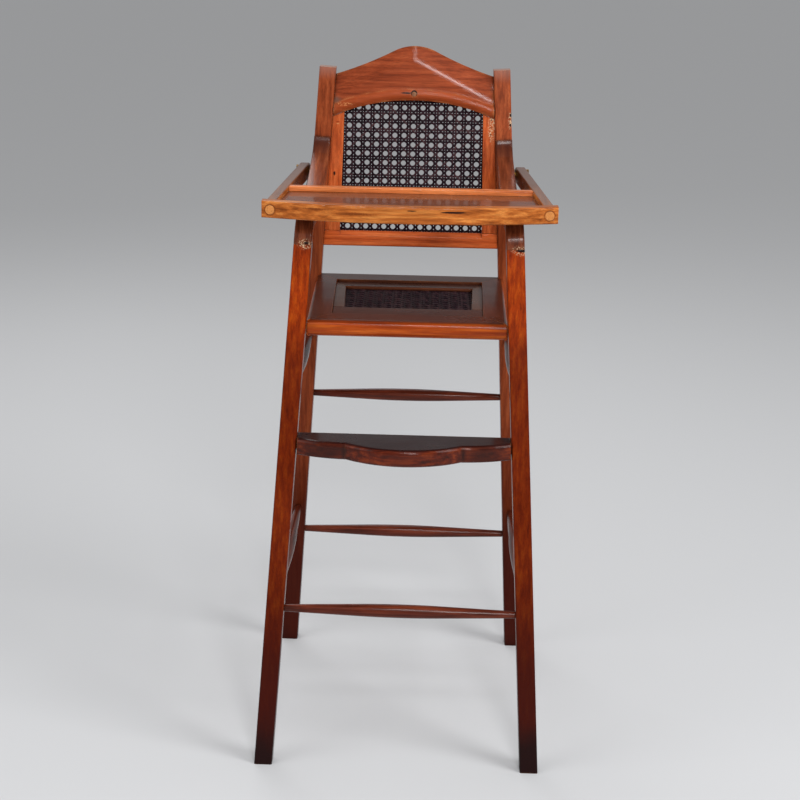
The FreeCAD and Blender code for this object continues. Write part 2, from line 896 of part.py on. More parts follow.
def octagon(x, y, flats):
    """Eight-sided hole about a point, with level and upright flats."""
    half_side = math.pi / CANE_GAP_SIDES
    corner_radius = flats / 2 / math.cos(half_side)
    points = []
    for step in range(CANE_GAP_SIDES + 1):
        angle = half_side * (1 + step * 2)
        points.append(FreeCAD.Vector(x + corner_radius * math.cos(angle), y + corner_radius * math.sin(angle), 0))
    return Part.makePolygon(points)


def cane_sheet(node, border, allowed, middle, counts):
    """Sheet on the XY plane with a gap wherever the whole gap lies in the open part of the frame."""
    pitch = DIMENSIONS["cane_pitch"]
    flats = DIMENSIONS["cane_hole_flats"]
    wires = [border]
    columns, rows = counts
    for row in range(rows):
        for column in range(columns):
            x = middle[0] + (column - (columns - 1) / 2) * pitch
            y = middle[1] + (row - (rows - 1) / 2) * pitch
            if allowed(x, y, flats / 2 + DIMENSIONS["cane_border"]):
                wires.append(octagon(x, y, flats))
    face = Part.Face(wires, "Part::FaceMakerBullseye")
    item = doc.addObject("Part::Feature", node)
    item.Shape = face.extrude(FreeCAD.Vector(0, 0, DIMENSIONS["cane_thickness"]))
    finish(node, item)
    return item


def seat_cane(opening, bottom):
    front, rear = [(corner[0].value, corner[1].value) for corner in opening]
    depth = DIMENSIONS["groove_depth"]
    outline = [
        (-front[0] - depth, front[1] - depth),
        (front[0] + depth, front[1] - depth),
        (rear[0] + depth, rear[1] + depth),
        (-rear[0] - depth, rear[1] + depth),
    ]
    border = Part.makePolygon([FreeCAD.Vector(x, y, 0) for x, y in outline + outline[:1]])
    pitch = DIMENSIONS["cane_pitch"]
    counts = (int(2 * front[0] // pitch), int((rear[1] - front[1]) // pitch))

    def allowed(x, y, reach):
        return abs(x) + reach <= front[0] and front[1] + reach <= y <= rear[1] - reach

    item = cane_sheet("seat_cane_panel", border, allowed, (0, (front[1] + rear[1]) / 2), counts)
    WORLD.moved(0, 0, bottom).hold(item)


# Back: raked frame whose X runs across and whose Z runs up the back

back_rake = size("back_rake")
back_y = post_y(size("back_base_height"))
back_frame = WORLD.moved(0, back_y, size("back_base_height")).turned(ALONG_X, -back_rake)
back_height = (size("post_top_height") * cosine(side_lean) - size("back_base_height")) / cosine(back_rake)
arch_crown = back_height - size("arch_crown_drop")
arch_centre = arch_crown - size("arch_radius")
crest_end = back_height - size("crest_end_drop")
crest_apex = back_height + size("crest_apex_rise")


def back_inner_x(w):
    """Distance of the posts' inner faces from the chair's middle, at a height along the back."""
    return inner_x(back_y + w * sine(back_rake), size("back_base_height") + w * cosine(back_rake)) - shoulder_gap


stile_low_half = back_inner_x(size("lower_rail_height") / 2) - size("stile_low_width")
stile_high_half = back_inner_x(crest_end) - size("stile_high_width")


def arch_w(x):
    return arch_centre + beside(size("arch_radius"), x)


def tenon_pad(body, name, centre, width, height, half_length):
    section = block_corners(centre, width, height)
    outline = draw(body, name, "YZ_Plane", section)
    return pad(body, outline, half_length * 2, symmetric=True)


def lower_back_rail(groove):
    """Rail below the cane, with its upper front edge bevelled between the stiles."""
    node = "lower_back_rail"
    body = new_body(f"{node}_blank", back_frame)
    half = size("lower_rail_height") / 2
    corners = [
        (-back_inner_x(-half), -half),
        (back_inner_x(-half), -half),
        (back_inner_x(half), half),
        (-back_inner_x(half), half),
    ]
    outline = draw(body, f"{node}_outline", "XZ_Plane", corners)
    block = pad(body, outline, size("lower_rail_depth"), symmetric=True)

    def front_edge(edge, middle):
        front = abs(abs(middle.y) - DIMENSIONS["lower_rail_depth"] / 2) < fit_gap.value
        return front and edge.Length > stile_low_half.value

    soften(body, block, size("lower_rail_round"), front_edge)
    tip = back_inner_x(half) + tenon_length
    width = size("rail_tenon_depth")
    height = size("rail_tenon_height")
    tenon_pad(body, f"{node}_tenon", (ZERO, ZERO), width, height, tip)
    depth = size("lower_rail_depth")
    edge = back_frame.moved(0, -depth / 2, half - size("lower_rail_bevel_rise"))
    facet = edge.turned(ALONG_X, -size("lower_rail_bevel")).moved(-stile_low_half, -depth, 0)
    bevel = box("lower_rail_bevel", facet, stile_low_half * 2, depth, depth)
    finish(node, cut(node, body, [groove, bevel]))
    return slot("lower_rail_mortise", back_frame, (ZERO, ZERO), tip, width, height)


def back_stile(side, sign, groove):
    node = f"back_stile_{side}"
    body = new_body(f"{node}_blank", back_frame)
    low = size("lower_rail_height") / 2 + shoulder_gap
    inner_top = arch_w(stile_high_half) - shoulder_gap
    corner = back_inner_x(inner_top)
    outer_top = arch_w(corner) - shoulder_gap
    corners = [
        (stile_low_half * sign, low),
        (back_inner_x(low) * sign, low),
        (back_inner_x(outer_top) * sign, outer_top),
        (stile_high_half * sign, inner_top),
    ]
    outline = draw(body, f"{node}_outline", "XZ_Plane", corners)
    pad(body, outline, size("stile_depth"), symmetric=True)
    finish(node, cut(node, body, [groove]))


def crest_outline():
    """Corners and arcs of the crest: arched below, hollow slopes and a round crown above."""
    crown_half = size("crest_crown_half")
    crown_drop = size("crest_crown_radius") - beside(size("crest_crown_radius"), crown_half)
    crown_w = crest_apex - crown_drop
    foot_x = back_inner_x(arch_w(stile_high_half))
    foot_w = arch_w(foot_x)
    end_x = back_inner_x(crest_end)
    corners = [
        (foot_x, foot_w),
        (end_x, crest_end),
        (crown_half, crown_w),
        (-crown_half, crown_w),
        (-end_x, crest_end),
        (-foot_x, foot_w),
    ]
    hollow = size("crest_hollow_radius")
    arcs = {
        1: (hollow, -1),
        2: (size("crest_crown_radius"), 1),
        3: (hollow, -1),
        5: (size("arch_radius"), -1),
    }
    return corners, arcs, foot_x


def crest_bead(body, foot_x):
    """Round bead along the arch, turned about the arch's centre."""
    radius = size("bead_radius")
    line = size("arch_radius") + radius
    proud = size("crest_thickness") / 2 + size("bead_proud") - radius
    sketch = new_sketch(body, "crest_bead_section", "YZ_Plane")
    start = FreeCAD.Vector(-proud.value, (arch_centre + line).value, 0)
    sketch.addGeometry(Part.Circle(start, FreeCAD.Vector(0, 0, 1), radius.value), False)
    tie(sketch, "DistanceX", (0, 3), -proud)
    tie(sketch, "DistanceY", (0, 3), arch_centre + line)
    tie(sketch, "Radius", (0,), radius)
    axis = [FreeCAD.Vector(step * radius.value, arch_centre.value, 0) for step in (-1, 1)]
    sketch.addGeometry(Part.LineSegment(*axis), True)
    tie(sketch, "DistanceX", (1, 1), -radius)
    tie(sketch, "DistanceX", (1, 2), radius)
    tie(sketch, "DistanceY", (1, 1), arch_centre)
    tie(sketch, "DistanceY", (1, 2), arch_centre)
    bead = body.newObject("PartDesign::Revolution", "crest_bead")
    bead.Profile = sketch
    bead.ReferenceAxis = (sketch, ["Axis0"])
    bead.Midplane = True
    half_angle = arc_sine((foot_x + radius) / size("arch_radius"))
    bead.setExpression("Angle", (half_angle * 2).text)
    sketch.Visibility = False


def bead_trims(foot_x, tenon_bottom):
    """Blocks that cut the bead off where the crest ends at the posts, below the tenons."""
    foot_w = arch_w(foot_x)
    lean = arc_tangent((foot_x - back_inner_x(crest_end)) / (crest_end - foot_w))
    below = size("bead_radius") * 2
    height = below + tenon_bottom - size("tenon_clearance") - foot_w
    width = size("crest_thickness") * 2
    trims = []
    for side, sign in SIDES.items():
        foot = back_frame.moved(foot_x * sign, 0, foot_w).turned(ALONG_Y, -lean * sign)
        corner = foot.moved(width / 2 * sign - width / 2, -width / 2, -below)
        trims.append(box(f"bead_trim_{side}", corner, width, width, height))
    return trims


def crest_rail(groove):
    node = "crest_rail"
    body = new_body(f"{node}_blank", back_frame)
    corners, arcs, foot_x = crest_outline()
    outline = draw(body, f"{node}_outline", "XZ_Plane", corners, arcs)
    thickness = size("crest_thickness")
    pad(body, outline, thickness, symmetric=True)
    width = size("rail_tenon_depth")
    height = size("crest_tenon_height")
    centre = (ZERO, back_height - size("crest_tenon_drop") + height / 2)
    tip = back_inner_x(crest_end) + tenon_length
    tenon_pad(body, f"{node}_tenon", centre, width, height, tip)
    crest_bead(body, foot_x)
    ridge = back_frame.moved(0, -thickness / 2, back_height + size("crest_ridge_rise"))
    span = crest_apex
    bevels = []
    for side, sign in SIDES.items():
        facet = ridge.turned(ALONG_Y, size("crest_ridge_fall") * sign).turned(ALONG_X, -size("crest_bevel"))
        corner = facet.moved(-span, -thickness, 0)
        bevels.append(box(f"crest_bevel_{side}", corner, span * 2, thickness, span))
    bead_line = arch_centre + size("arch_radius") + size("bead_radius")
    peg_front = -thickness / 2 - size("bead_proud") - shoulder_gap
    peg_frame = back_frame.moved(0, peg_front, bead_line).turned(ALONG_X, -RIGHT_ANGLE)
    peg = cylinder("crest_peg", peg_frame, size("crest_peg_radius"), size("crest_peg_length"))
    finish("crest_peg", peg)
    hole_length = size("crest_peg_length") + fit_gap
    hole = cylinder("crest_peg_hole", peg_frame, size("crest_peg_radius") + fit_gap, hole_length)
    trims = bead_trims(foot_x, centre[1] - height / 2)
    finish(node, cut(node, body, bevels + trims + [groove, hole]))
    return slot("crest_mortise", back_frame, centre, tip, width, height)


def back_cane_corners(grow):
    """Plan of the cane with its edges in the grooves, grown by a gap; the last side is the arch."""
    depth = size("groove_depth") + grow
    low = size("lower_rail_height") / 2 - depth
    high_x = stile_high_half + depth
    high = arch_centre + beside(size("arch_radius") + depth, high_x)
    return [
        (-high_x, high),
        (-stile_low_half - depth, low),
        (stile_low_half + depth, low),
        (high_x, high),
    ], size("arch_radius") + depth


def back_cane_groove():
    body = new_body("back_cane_groove", back_frame)
    corners, radius = back_cane_corners(fit_gap)
    outline = draw(body, "back_cane_groove_outline", "XZ_Plane", corners, {3: (radius, 1)})
    pad(body, outline, size("cane_thickness") + fit_gap * 2, symmetric=True)
    return body


def back_cane():
    corners, radius = back_cane_corners(ZERO)
    points = [FreeCAD.Vector(x.value, w.value, 0) for x, w in corners]
    edges = [Part.LineSegment(points[step], points[step + 1]).toShape() for step in range(3)]
    crown = FreeCAD.Vector(0, arch_centre.value + radius.value, 0)
    edges.append(Part.Arc(points[3], crown, points[0]).toShape())
    pitch = DIMENSIONS["cane_pitch"]
    low = DIMENSIONS["lower_rail_height"] / 2
    high_half = stile_high_half.value
    counts = (int(2 * high_half // pitch), int((arch_crown.value - low) // pitch))

    def allowed(x, w, reach):
        open_side = abs(x) + reach <= high_half
        under_arch = math.hypot(x, w - arch_centre.value) + reach <= DIMENSIONS["arch_radius"]
        return open_side and under_arch and w - reach >= low

    middle = (0, low + counts[1] * pitch / 2)
    item = cane_sheet("back_cane_panel", Part.Wire(edges), allowed, middle, counts)
    stood = back_frame.turned(ALONG_X, RIGHT_ANGLE)
    stood.moved(0, 0, -size("cane_thickness") / 2).hold(item)


# Tray

tray_bottom = size("arm_top_height") * cosine(side_lean) + side_width / 2 * sine(side_lean) + size("tray_rest_gap")
tray_top = tray_bottom + size("tray_height")
pivot_z = tray_bottom + size("tray_height") / 2
pivot_y = side_y(post_front_u(side_v(pivot_z)) + size("post_depth") / 2, pivot_z)
bar_yaw = size("bar_yaw")
bar_half = size("bar_width") / 2 / cosine(bar_yaw)
bar_pivot_x = outer_x(pivot_y, pivot_z) + size("bar_gap") + bar_half


def bar_x(y):
    """Middle line of a tray bar."""
    return bar_pivot_x + tangent(bar_yaw) * (pivot_y - y)


tray_front_half = bar_x(-size("tray_front_reach")) + bar_half + size("tray_overhang")
tray_bow = size("tray_bow")
bow_radius = (tray_front_half * tray_front_half + tray_bow * tray_bow) / (tray_bow * 2)
bow_centre = bow_radius - size("tray_front_reach") - tray_bow


def bow_y(radius, x):
    return bow_centre - beside(radius, x)


def front_rail_body(name, grow):
    """Bowed rail of even depth; grow thickens it inwards for a scribing tool."""
    body = new_body(name, WORLD.moved(0, 0, tray_bottom - grow))
    half = tray_front_half + grow
    inner = bow_radius - size("tray_front_depth") - grow
    corners = [
        (-half, bow_y(bow_radius, half)),
        (half, bow_y(bow_radius, half)),
        (half, bow_y(inner, half)),
        (-half, bow_y(inner, half)),
    ]
    outline = draw(body, f"{name}_plan", "XY_Plane", corners, {0: (bow_radius, 1), 2: (inner, -1)})
    return body, pad(body, outline, size("tray_height") + grow * 2)


def bar_frame(sign):
    return WORLD.moved(bar_pivot_x * sign, pivot_y, pivot_z).turned(ALONG_Z, bar_yaw * sign)


def bar_reach():
    """Length of a bar from its pivot to the middle of the front rail."""
    end_x = bar_x(-size("tray_front_reach"))
    middle_y = bow_y(bow_radius - size("tray_front_depth") / 2, end_x)
    return (pivot_y - middle_y) / cosine(bar_yaw), end_x


def bar_tenon(name, sign, grow, proud):
    """Round tenon of a bar, through the front rail."""
    middle_reach, end_x = bar_reach()
    front_y = bow_y(bow_radius, end_x)
    tip = (pivot_y - front_y) / cosine(bar_yaw) + proud
    root_reach = middle_reach - size("tray_front_depth")
    start = bar_frame(sign).moved(0, -root_reach, 0).turned(ALONG_X, RIGHT_ANGLE)
    return cylinder(name, start, size("bar_tenon_radius") + grow, tip - root_reach)


def tray_bar(side, sign, cutters, scribe):
    node = f"tray_bar_{side}"
    body = new_body(f"{node}_blank", bar_frame(sign))
    reach, _ = bar_reach()
    half = size("tray_height") / 2
    corners = [(-reach, -half), (ZERO, -half), (half, ZERO), (ZERO, half), (-reach, half)]
    outline = draw(body, f"{node}_outline", "YZ_Plane", corners, {1: (half, 1), 2: (half, 1)})
    block = pad(body, outline, size("bar_width"), symmetric=True)

    def long_edge(edge, middle):
        on_face = abs(abs(middle.x) - DIMENSIONS["bar_width"] / 2) < fit_gap.value
        return on_face and edge.Length > DIMENSIONS["tray_height"] / 2 and edge.BoundBox.YLength > fit_gap.value

    soften(body, block, size("tray_edge_round"), long_edge)
    scribed = cut(f"{node}_scribed", body, [scribe])
    tenon = bar_tenon(f"{node}_tenon", sign, ZERO, size("bar_tenon_proud"))
    stick = fuse(f"{node}_stick", [scribed, tenon])
    finish(node, cut(node, stick, cutters))


def bar_inner_x(y):
    return bar_x(y) - bar_half


def tray_rear_rail(groove):
    node = "tray_rear_rail"
    rear = -size("tray_rear_reach")
    front = rear - size("tray_rear_depth")
    height = size("tray_height")
    body = new_body(f"{node}_blank", WORLD.moved(0, 0, tray_bottom + height / 2))
    corners = [
        (-bar_inner_x(front) + shoulder_gap, front),
        (bar_inner_x(front) - shoulder_gap, front),
        (bar_inner_x(rear) - shoulder_gap, rear),
        (-bar_inner_x(rear) + shoulder_gap, rear),
    ]
    outline = draw(body, f"{node}_plan", "XY_Plane", corners)
    block = pad(body, outline, height, symmetric=True)

    def top_edge(edge, middle):
        return middle.z > height.value / 2 - fit_gap.value and abs(middle.x) < fit_gap.value

    soften(body, block, size("tray_edge_round"), top_edge)
    centre = ((rear + front) / 2, ZERO)
    tip = bar_inner_x(rear) + size("tray_tenon_length")
    section = (size("tray_tenon_width"), size("tray_tenon_height"))
    tenon_pad(body, f"{node}_tenon", centre, *section, tip)
    finish(node, cut(node, body, [groove]))
    frame = WORLD.moved(0, 0, tray_bottom + height / 2)
    return slot("tray_rear_mortise", frame, centre, tip, *section)


def panel_body(name, grow):
    """Tray board with its edges in the rails' grooves, grown by a gap."""
    depth = size("groove_depth") + grow
    top = tray_top - size("tray_panel_drop") + grow
    thickness = size("tray_panel_thickness") + grow * 2
    body = new_body(name, WORLD.moved(0, 0, top - thickness))
    rear = -size("tray_rear_reach") - size("tray_rear_depth") + depth
    radius = bow_radius - size("tray_front_depth") + depth
    front_x = bar_inner_x(-size("tray_front_reach") + size("tray_front_depth")) + depth
    rear_x = bar_inner_x(rear) + depth
    front = bow_y(radius, front_x)
    corners = [(-front_x, front), (front_x, front), (rear_x, rear), (-rear_x, rear)]
    outline = draw(body, f"{name}_plan", "XY_Plane", corners, {0: (radius, 1)})
    pad(body, outline, thickness)
    return body


def panel_pins():
    """Pins driven up into the front rail, and the holes for them."""
    pins = []
    holes = []
    for step in (-1, 0, 1):
        x = size("panel_pin_spacing") * step
        y = bow_y(bow_radius - size("tray_front_depth") / 2, x)
        start = WORLD.moved(x, y, tray_bottom - size("panel_pin_proud"))
        pins.append(cylinder(f"panel_pin_{step + 2}", start, size("panel_pin_radius"), size("panel_pin_length")))
        length = size("panel_pin_length") + fit_gap
        holes.append(cylinder(f"panel_pin_hole_{step + 2}", start, size("panel_pin_radius") + fit_gap, length))
    group = doc.addObject("Part::Compound", "tray_panel_pins")
    group.Links = pins
    finish("tray_panel_pins", group)
    return holes


# Pivots: a headed pin through each bar, fixed in the post, with a washer between

pin_tip_x = outer_x(pivot_y, pivot_z) - size("pivot_grip")
pin_head_x = bar_pivot_x + bar_half + size("pivot_head_gap")


def pin_line(name, start_x, end_x, sign, radius):
    """Cylinder along X about the pivot's axis."""
    low = start_x if sign > 0 else -end_x
    frame = WORLD.moved(low, pivot_y, pivot_z).turned(ALONG_Y, RIGHT_ANGLE)
    return cylinder(name, frame, radius, end_x - start_x)


def pivots():
    """Pins and washers, and the bores for them in the posts and bars."""
    bores = {}
    washers = []
    radius = size("pivot_radius")
    for side, sign in SIDES.items():
        node = f"tray_pivot_pin_{side}"
        head_end = pin_head_x + size("pivot_head_length")
        shank = pin_line(f"{node}_shank", pin_tip_x, pin_head_x, sign, radius)
        head = pin_line(f"{node}_head", pin_head_x, head_end, sign, size("pivot_head_radius"))
        finish(node, fuse(node, [shank, head]))
        end_of_bore = pin_tip_x - fit_gap
        post_bore = pin_line(f"post_bore_{side}", end_of_bore, pin_head_x, sign, radius + fit_gap)
        running = radius + size("pivot_running_gap")
        bar_bore = pin_line(f"bar_bore_{side}", end_of_bore, pin_head_x, sign, running)
        bores[side] = (post_bore, bar_bore)
        washer_end = bar_pivot_x - bar_half - size("washer_gap")
        washer_start = washer_end - size("washer_thickness")
        disc = pin_line(f"washer_disc_{side}", washer_start, washer_end, sign, size("washer_radius"))
        washers.append(cut(f"washer_{side}", disc, [post_bore]))
    group = doc.addObject("Part::Compound", "pivot_washers")
    group.Links = washers
    finish("pivot_washers", group)
    return bores


# Assembly

floor_reach = size("foot_half_spread") + size("rear_foot_reach")
floor_frame = WORLD.moved(-floor_reach, -floor_reach, -size("floor_trim") * 2)
floor_slab = box("floor_slab", floor_frame, floor_reach * 2, floor_reach * 2, size("floor_trim") * 2)

front_height = size("front_stretcher_height")
leg_bores = [floor_slab, cross_stretcher("front_stretcher", front_leg_y(front_height), front_height), footrest()]
post_bores = [floor_slab]
for level in ("upper", "lower"):
    height = size(f"rear_{level}_height")
    post_bores.append(cross_stretcher(f"rear_stretcher_{level}", post_y(height), height))

groove = back_cane_groove()
post_bores.append(lower_back_rail(groove))
post_bores.append(crest_rail(groove))
for side, sign in SIDES.items():
    back_stile(side, sign, groove)
back_cane()

seat_dowels = []
dowel_holes = {"front": [], "rear": []}
for end, y in seat_dowel_spots().items():
    for side, sign in SIDES.items():
        seat_dowels.append(seat_dowel(f"seat_dowel_{end}_{side}", sign, y, ZERO))
        dowel_holes[end].append(seat_dowel(f"seat_dowel_hole_{end}_{side}", sign, y, fit_gap))
dowel_group = doc.addObject("Part::Compound", "seat_dowels")
dowel_group.Links = seat_dowels
finish("seat_dowels", dowel_group)
notches = [post_notch(side, side_frame(sign)) for side, sign in SIDES.items()]
seat_rails(dowel_holes, notches)
seat_opening, seat_cane_bottom = seat_slips()
seat_cane(seat_opening, seat_cane_bottom)

pivot_bores = pivots()
arm_dowels = []
for side, sign in SIDES.items():
    frame = side_frame(sign)
    side_bores = []
    for level in ("upper", "lower"):
        v = side_v(size(f"side_{level}_height"))
        side_bores.append(side_stretcher(f"side_stretcher_{level}_{side}", frame, v))
    sockets = {}
    for end, spot in arm_dowel_frames(frame).items():
        arm_dowels.append(arm_dowel(f"arm_dowel_{end}_{side}", spot, ZERO))
        sockets[end] = arm_dowel(f"arm_socket_{end}_{side}", spot, fit_gap)
    leg_tools = leg_bores + side_bores + dowel_holes["front"] + [sockets["knee"]]
    post_tools = post_bores + side_bores + dowel_holes["rear"] + [sockets["post"], pivot_bores[side][0]]
    leg_node = f"front_leg_{side}"
    post_node = f"rear_post_{side}"
    arm_node = f"arm_{side}"
    finish(leg_node, cut(leg_node, front_leg_blank(side, frame), leg_tools))
    finish(post_node, cut(post_node, rear_post_blank(side, frame), post_tools))
    finish(arm_node, cut(arm_node, arm_blank(side, frame), list(sockets.values())))
arm_dowel_group = doc.addObject("Part::Compound", "arm_dowels")
arm_dowel_group.Links = arm_dowels
finish("arm_dowels", arm_dowel_group)

panel_groove = panel_body("tray_panel_groove", fit_gap)
finish("tray_panel", panel_body("tray_panel", ZERO))
rail_body, rail_block = front_rail_body("tray_front_rail_blank", ZERO)


def rail_edge(edge, middle):
    """Long edges of the bowed front face."""
    level = edge.BoundBox.ZLength < fit_gap.value
    in_front = middle.y < bow_y(bow_radius, fit_gap).value + fit_gap.value
    return level and in_front


soften(rail_body, rail_block, size("tray_edge_round"), rail_edge)
scribe_body, _ = front_rail_body("tray_front_scribe", shoulder_gap)
rail_tools = [panel_groove] + panel_pins()
for side, sign in SIDES.items():
    rail_tools.append(bar_tenon(f"bar_tenon_bore_{side}", sign, fit_gap, size("tray_front_depth")))
finish("tray_front_rail", cut("tray_front_rail", rail_body, rail_tools))
rear_mortise = tray_rear_rail(panel_groove)
for side, sign in SIDES.items():
    tray_bar(side, sign, [pivot_bores[side][1], rear_mortise, panel_groove], scribe_body)

doc.recompute()

# Every object and every shape is sound before anything is written

for item in doc.Objects:
    if "Invalid" in item.State or "Error" in item.State:
        raise RuntimeError(f"{item.Label} failed: {item.State}")
for node, item in finished.items():
    shape = item.Shape
    if shape.isNull() or not shape.isValid() or not shape.Solids:
        raise RuntimeError(f"{node} has no sound solid")

os.makedirs("parts", exist_ok=True)
for node, item in finished.items():
    item.Shape.exportStep(f"parts/{node}.step")
    print(node, len(item.Shape.Solids), round(item.Shape.Volume / 1000, 2), "cm3")
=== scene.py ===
import math
import random

import bpy
from mathutils import Matrix, Vector


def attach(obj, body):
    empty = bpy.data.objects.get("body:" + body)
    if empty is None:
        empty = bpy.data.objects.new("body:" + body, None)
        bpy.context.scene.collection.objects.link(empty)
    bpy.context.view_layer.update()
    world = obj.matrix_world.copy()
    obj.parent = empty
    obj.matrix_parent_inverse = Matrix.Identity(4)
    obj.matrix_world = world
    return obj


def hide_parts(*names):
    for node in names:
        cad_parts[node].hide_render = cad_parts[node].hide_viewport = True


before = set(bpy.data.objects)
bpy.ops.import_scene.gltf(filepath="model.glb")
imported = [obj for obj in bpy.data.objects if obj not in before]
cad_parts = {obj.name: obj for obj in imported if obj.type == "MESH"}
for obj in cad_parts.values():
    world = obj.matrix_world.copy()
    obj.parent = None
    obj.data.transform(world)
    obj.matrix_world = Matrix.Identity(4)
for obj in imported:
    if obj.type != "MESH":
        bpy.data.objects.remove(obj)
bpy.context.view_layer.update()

# Camera, worked out from the photograph: pixels, millimetres of sensor, metres and degrees

IMAGE_SIDE = 800
SENSOR = 36.0
FOCAL_PIXELS = 1830.7
AXIS_PIXEL = 348.25
CAMERA_PLACE = Vector((0.018, -2.468, 1.151))
CAMERA_YAW = -2.284
CAMERA_PITCH = 15.83
CAMERA_ROLL = 0.90

# Cane, sizes in metres as in the part's source; the profile is a share of a strand's width and thickness

CANE_PITCH = 0.0133
BACK_STRANDS = {"offset": 0.0018, "pair": 0.0026, "diagonal": 0.0025, "thickness": 0.0008}
SEAT_STRANDS = {"offset": 0.0021, "pair": 0.0034, "diagonal": 0.0036, "thickness": 0.0014}
STRAND_PROFILE = [(-0.5, -0.5), (0.5, -0.5), (0.5, 0.05), (0.24, 0.5), (-0.24, 0.5), (-0.5, 0.05)]
PAIR_LIFT = 0.0004
DIAGONAL_LIFT = 0.0008
PAIRS_EACH_WAY = 12
DIAGONALS_EACH_WAY = 24
STEPS_PER_PITCH = 5
LINE_STEP = 0.0005
LINE_REACH = 0.3
GROOVE_DEPTH = 0.004
TONE_SEED = 7

BACK_ORIGIN = Vector((0, 0.18981, 0.6455))
BACK_RAKE = math.radians(5.6)
BACK_UP = Vector((0, math.sin(BACK_RAKE), math.cos(BACK_RAKE)))
BACK_FRONT = Vector((0, -math.cos(BACK_RAKE), math.sin(BACK_RAKE)))
BACK_LOW = 0.011
BACK_LOW_HALF = 0.104
BACK_HIGH = 0.1864
BACK_HIGH_HALF = 0.1005
ARCH_CROWN = 0.20151
ARCH_RADIUS = 0.292
BACK_GAP = (0, 0.11075)

SEAT_FRONT = -0.008
SEAT_REAR = 0.127
SEAT_FRONT_HALF = 0.087
SEAT_REAR_HALF = 0.091
SEAT_CANE_HEIGHT = 0.5807
SEAT_GAP = (0, 0.06615)

# Places that the finishes follow, in metres; a span is where a colour starts and where it is full

BEAD_HEIGHT = 0.018
BEAD_LIGHT_BELOW = 0.004
BEAD_LIGHT_SHORT = 0.002
TENON_X = 0.179
TENON_Z = 0.74304
TENON_RADIUS = 0.006
TENON_RING = 0.0016
# Tray bars: painted shade on the part behind the tray
BAR_SHADE_SPAN = (-0.03, 0.05)
# Arms: painted shade at the top of the sweep, below the post's shoulder
ARM_SHADE_SPAN = (0.755, 0.79)
# Rear posts: worn top with a painted pale sheen, and dirt with painted shade below the seat
POST_WORN_AND_SHEEN_SPAN = (0.872, 0.8935)
POST_DIRT_AND_SHADE_SPAN = (0.56, 0.105)
POST_FOOT_SPAN = (0.04, -0.035)
# Front legs: painted shade under the seat, then dirt and painted shade growing towards the floor and foot
LEG_SEAT_SHADE_SPAN = (0.62, 0.52)
LEG_LOWER_SPAN = (0.32, 0.11)
LEG_FOOT_SPAN = (0.09, 0.015)

# Marks of wear, and a painted shadow at the footrest's cusps: the middle of each one and its half sizes, in
# metres

CREST_STAIN = ((-0.112, 0.199, 0.846), (0.009, 0.02, 0.007))
CREST_CHIPS = ((-0.100, 0.196, 0.8400), (0.017, 0.02, 0.0034))
PEG_CRACK = ((-0.011, 0.195, 0.8575), (0.009, 0.02, 0.0014))
PEG_RIM = ((0.0, 0.195, 0.8575), (0.0055, 0.02, 0.0052))
POST_CHIPS = ((0.1395, 0.193, 0.822), (0.004, 0.008, 0.016))
POST_UPPER_DENT = ((0.1405, 0.193, 0.829), (0.002, 0.008, 0.003))
POST_LOWER_DENT = ((0.1400, 0.193, 0.815), (0.0015, 0.008, 0.0025))
KNEE_CHIPS = {
    "left": ((-0.1365, -0.102, 0.6915), (0.013, 0.012, 0.009)),
    "right": ((0.147, -0.103, 0.6885), (0.015, 0.012, 0.008)),
}
KNEE_CRACK = {
    "left": ((-0.135, -0.102, 0.6925), (0.0042, 0.01, 0.0016)),
    "right": ((0.1475, -0.103, 0.6885), (0.0085, 0.01, 0.0021)),
}
STILE_KNOT = ((-0.1135, 0.191, 0.740), (0.0022, 0.008, 0.0042))
STILE_DARK_SCAR = ((-0.1097, 0.198, 0.8145), (0.0034, 0.008, 0.0012))
STILE_PALE_SCAR = ((-0.1097, 0.198, 0.8115), (0.0030, 0.008, 0.0011))
STILE_CHIPS = ((0.1135, 0.197, 0.812), (0.007, 0.01, 0.030))
STILE_DENT_X = 0.1125
STILE_DENT_Y = 0.197
STILE_DENT_HEIGHTS = (0.800, 0.810, 0.821)
STILE_DENT_SIZE = (0.0011, 0.008, 0.0018)
TRAY_LONG_CRACK = ((0.056, -0.1666, 0.7482), (0.019, 0.01, 0.0014))
TRAY_SHORT_CRACK = ((0.003, -0.169, 0.7496), (0.007, 0.01, 0.0008))
TRAY_INNER_STREAK = ((-0.07, -0.165, 0.7435), (0.040, 0.01, 0.0025))
TRAY_OUTER_STREAK = ((-0.12, -0.158, 0.7475), (0.030, 0.01, 0.0022))
FOOTREST_END = ((0.105, -0.15, 0.4275), (0.045, 0.06, 0.03))
FOOTREST_CUSP_SHADOW = ((0.0785, -0.17, 0.4275), (0.006, 0.01, 0.02))

# How ragged a mark's outline is and how softly it ends, as shares of its size

RAGGED_EDGE = (0.9, 0.3)
NEAT_EDGE = (0.3, 0.3)
SMOOTH_EDGE = (0.5, 0.6)
STREAK_EDGE = (1.2, 0.9)
STAIN_EDGE = (0.8, 0.9)
CUSP_EDGE = (0.4, 1.0)
FADED_EDGE = (0.3, 1.0)
FLECK_EDGE = (0.6, 0.7)

# Patterns: scale is in waves per metre

FIGURE = {"scale": 210, "detail": 3, "roughness": 0.5, "distortion": 0.1}
FIBRE = {"scale": 1100, "detail": 2, "roughness": 0.6}
PORE = {"scale": 2600, "detail": 1, "roughness": 0.5}
CLOUD = {"scale": 11, "detail": 3, "roughness": 0.5}
SPECKLE = {"scale": 700, "detail": 3}
WEAR = {"scale": 55, "detail": 4}
RAG = {"scale": 420, "detail": 3, "roughness": 0.6}
FLECK = {"scale": 520, "detail": 2, "roughness": 0.7}
CANE_SKIN = {"scale": 260, "detail": 4, "roughness": 0.6}
TARNISH = {"scale": 300, "detail": 5}
NOISE_MEAN = 0.5

# Ranges: a value from the first number to the second becomes the third to the fourth, or 0 to 1

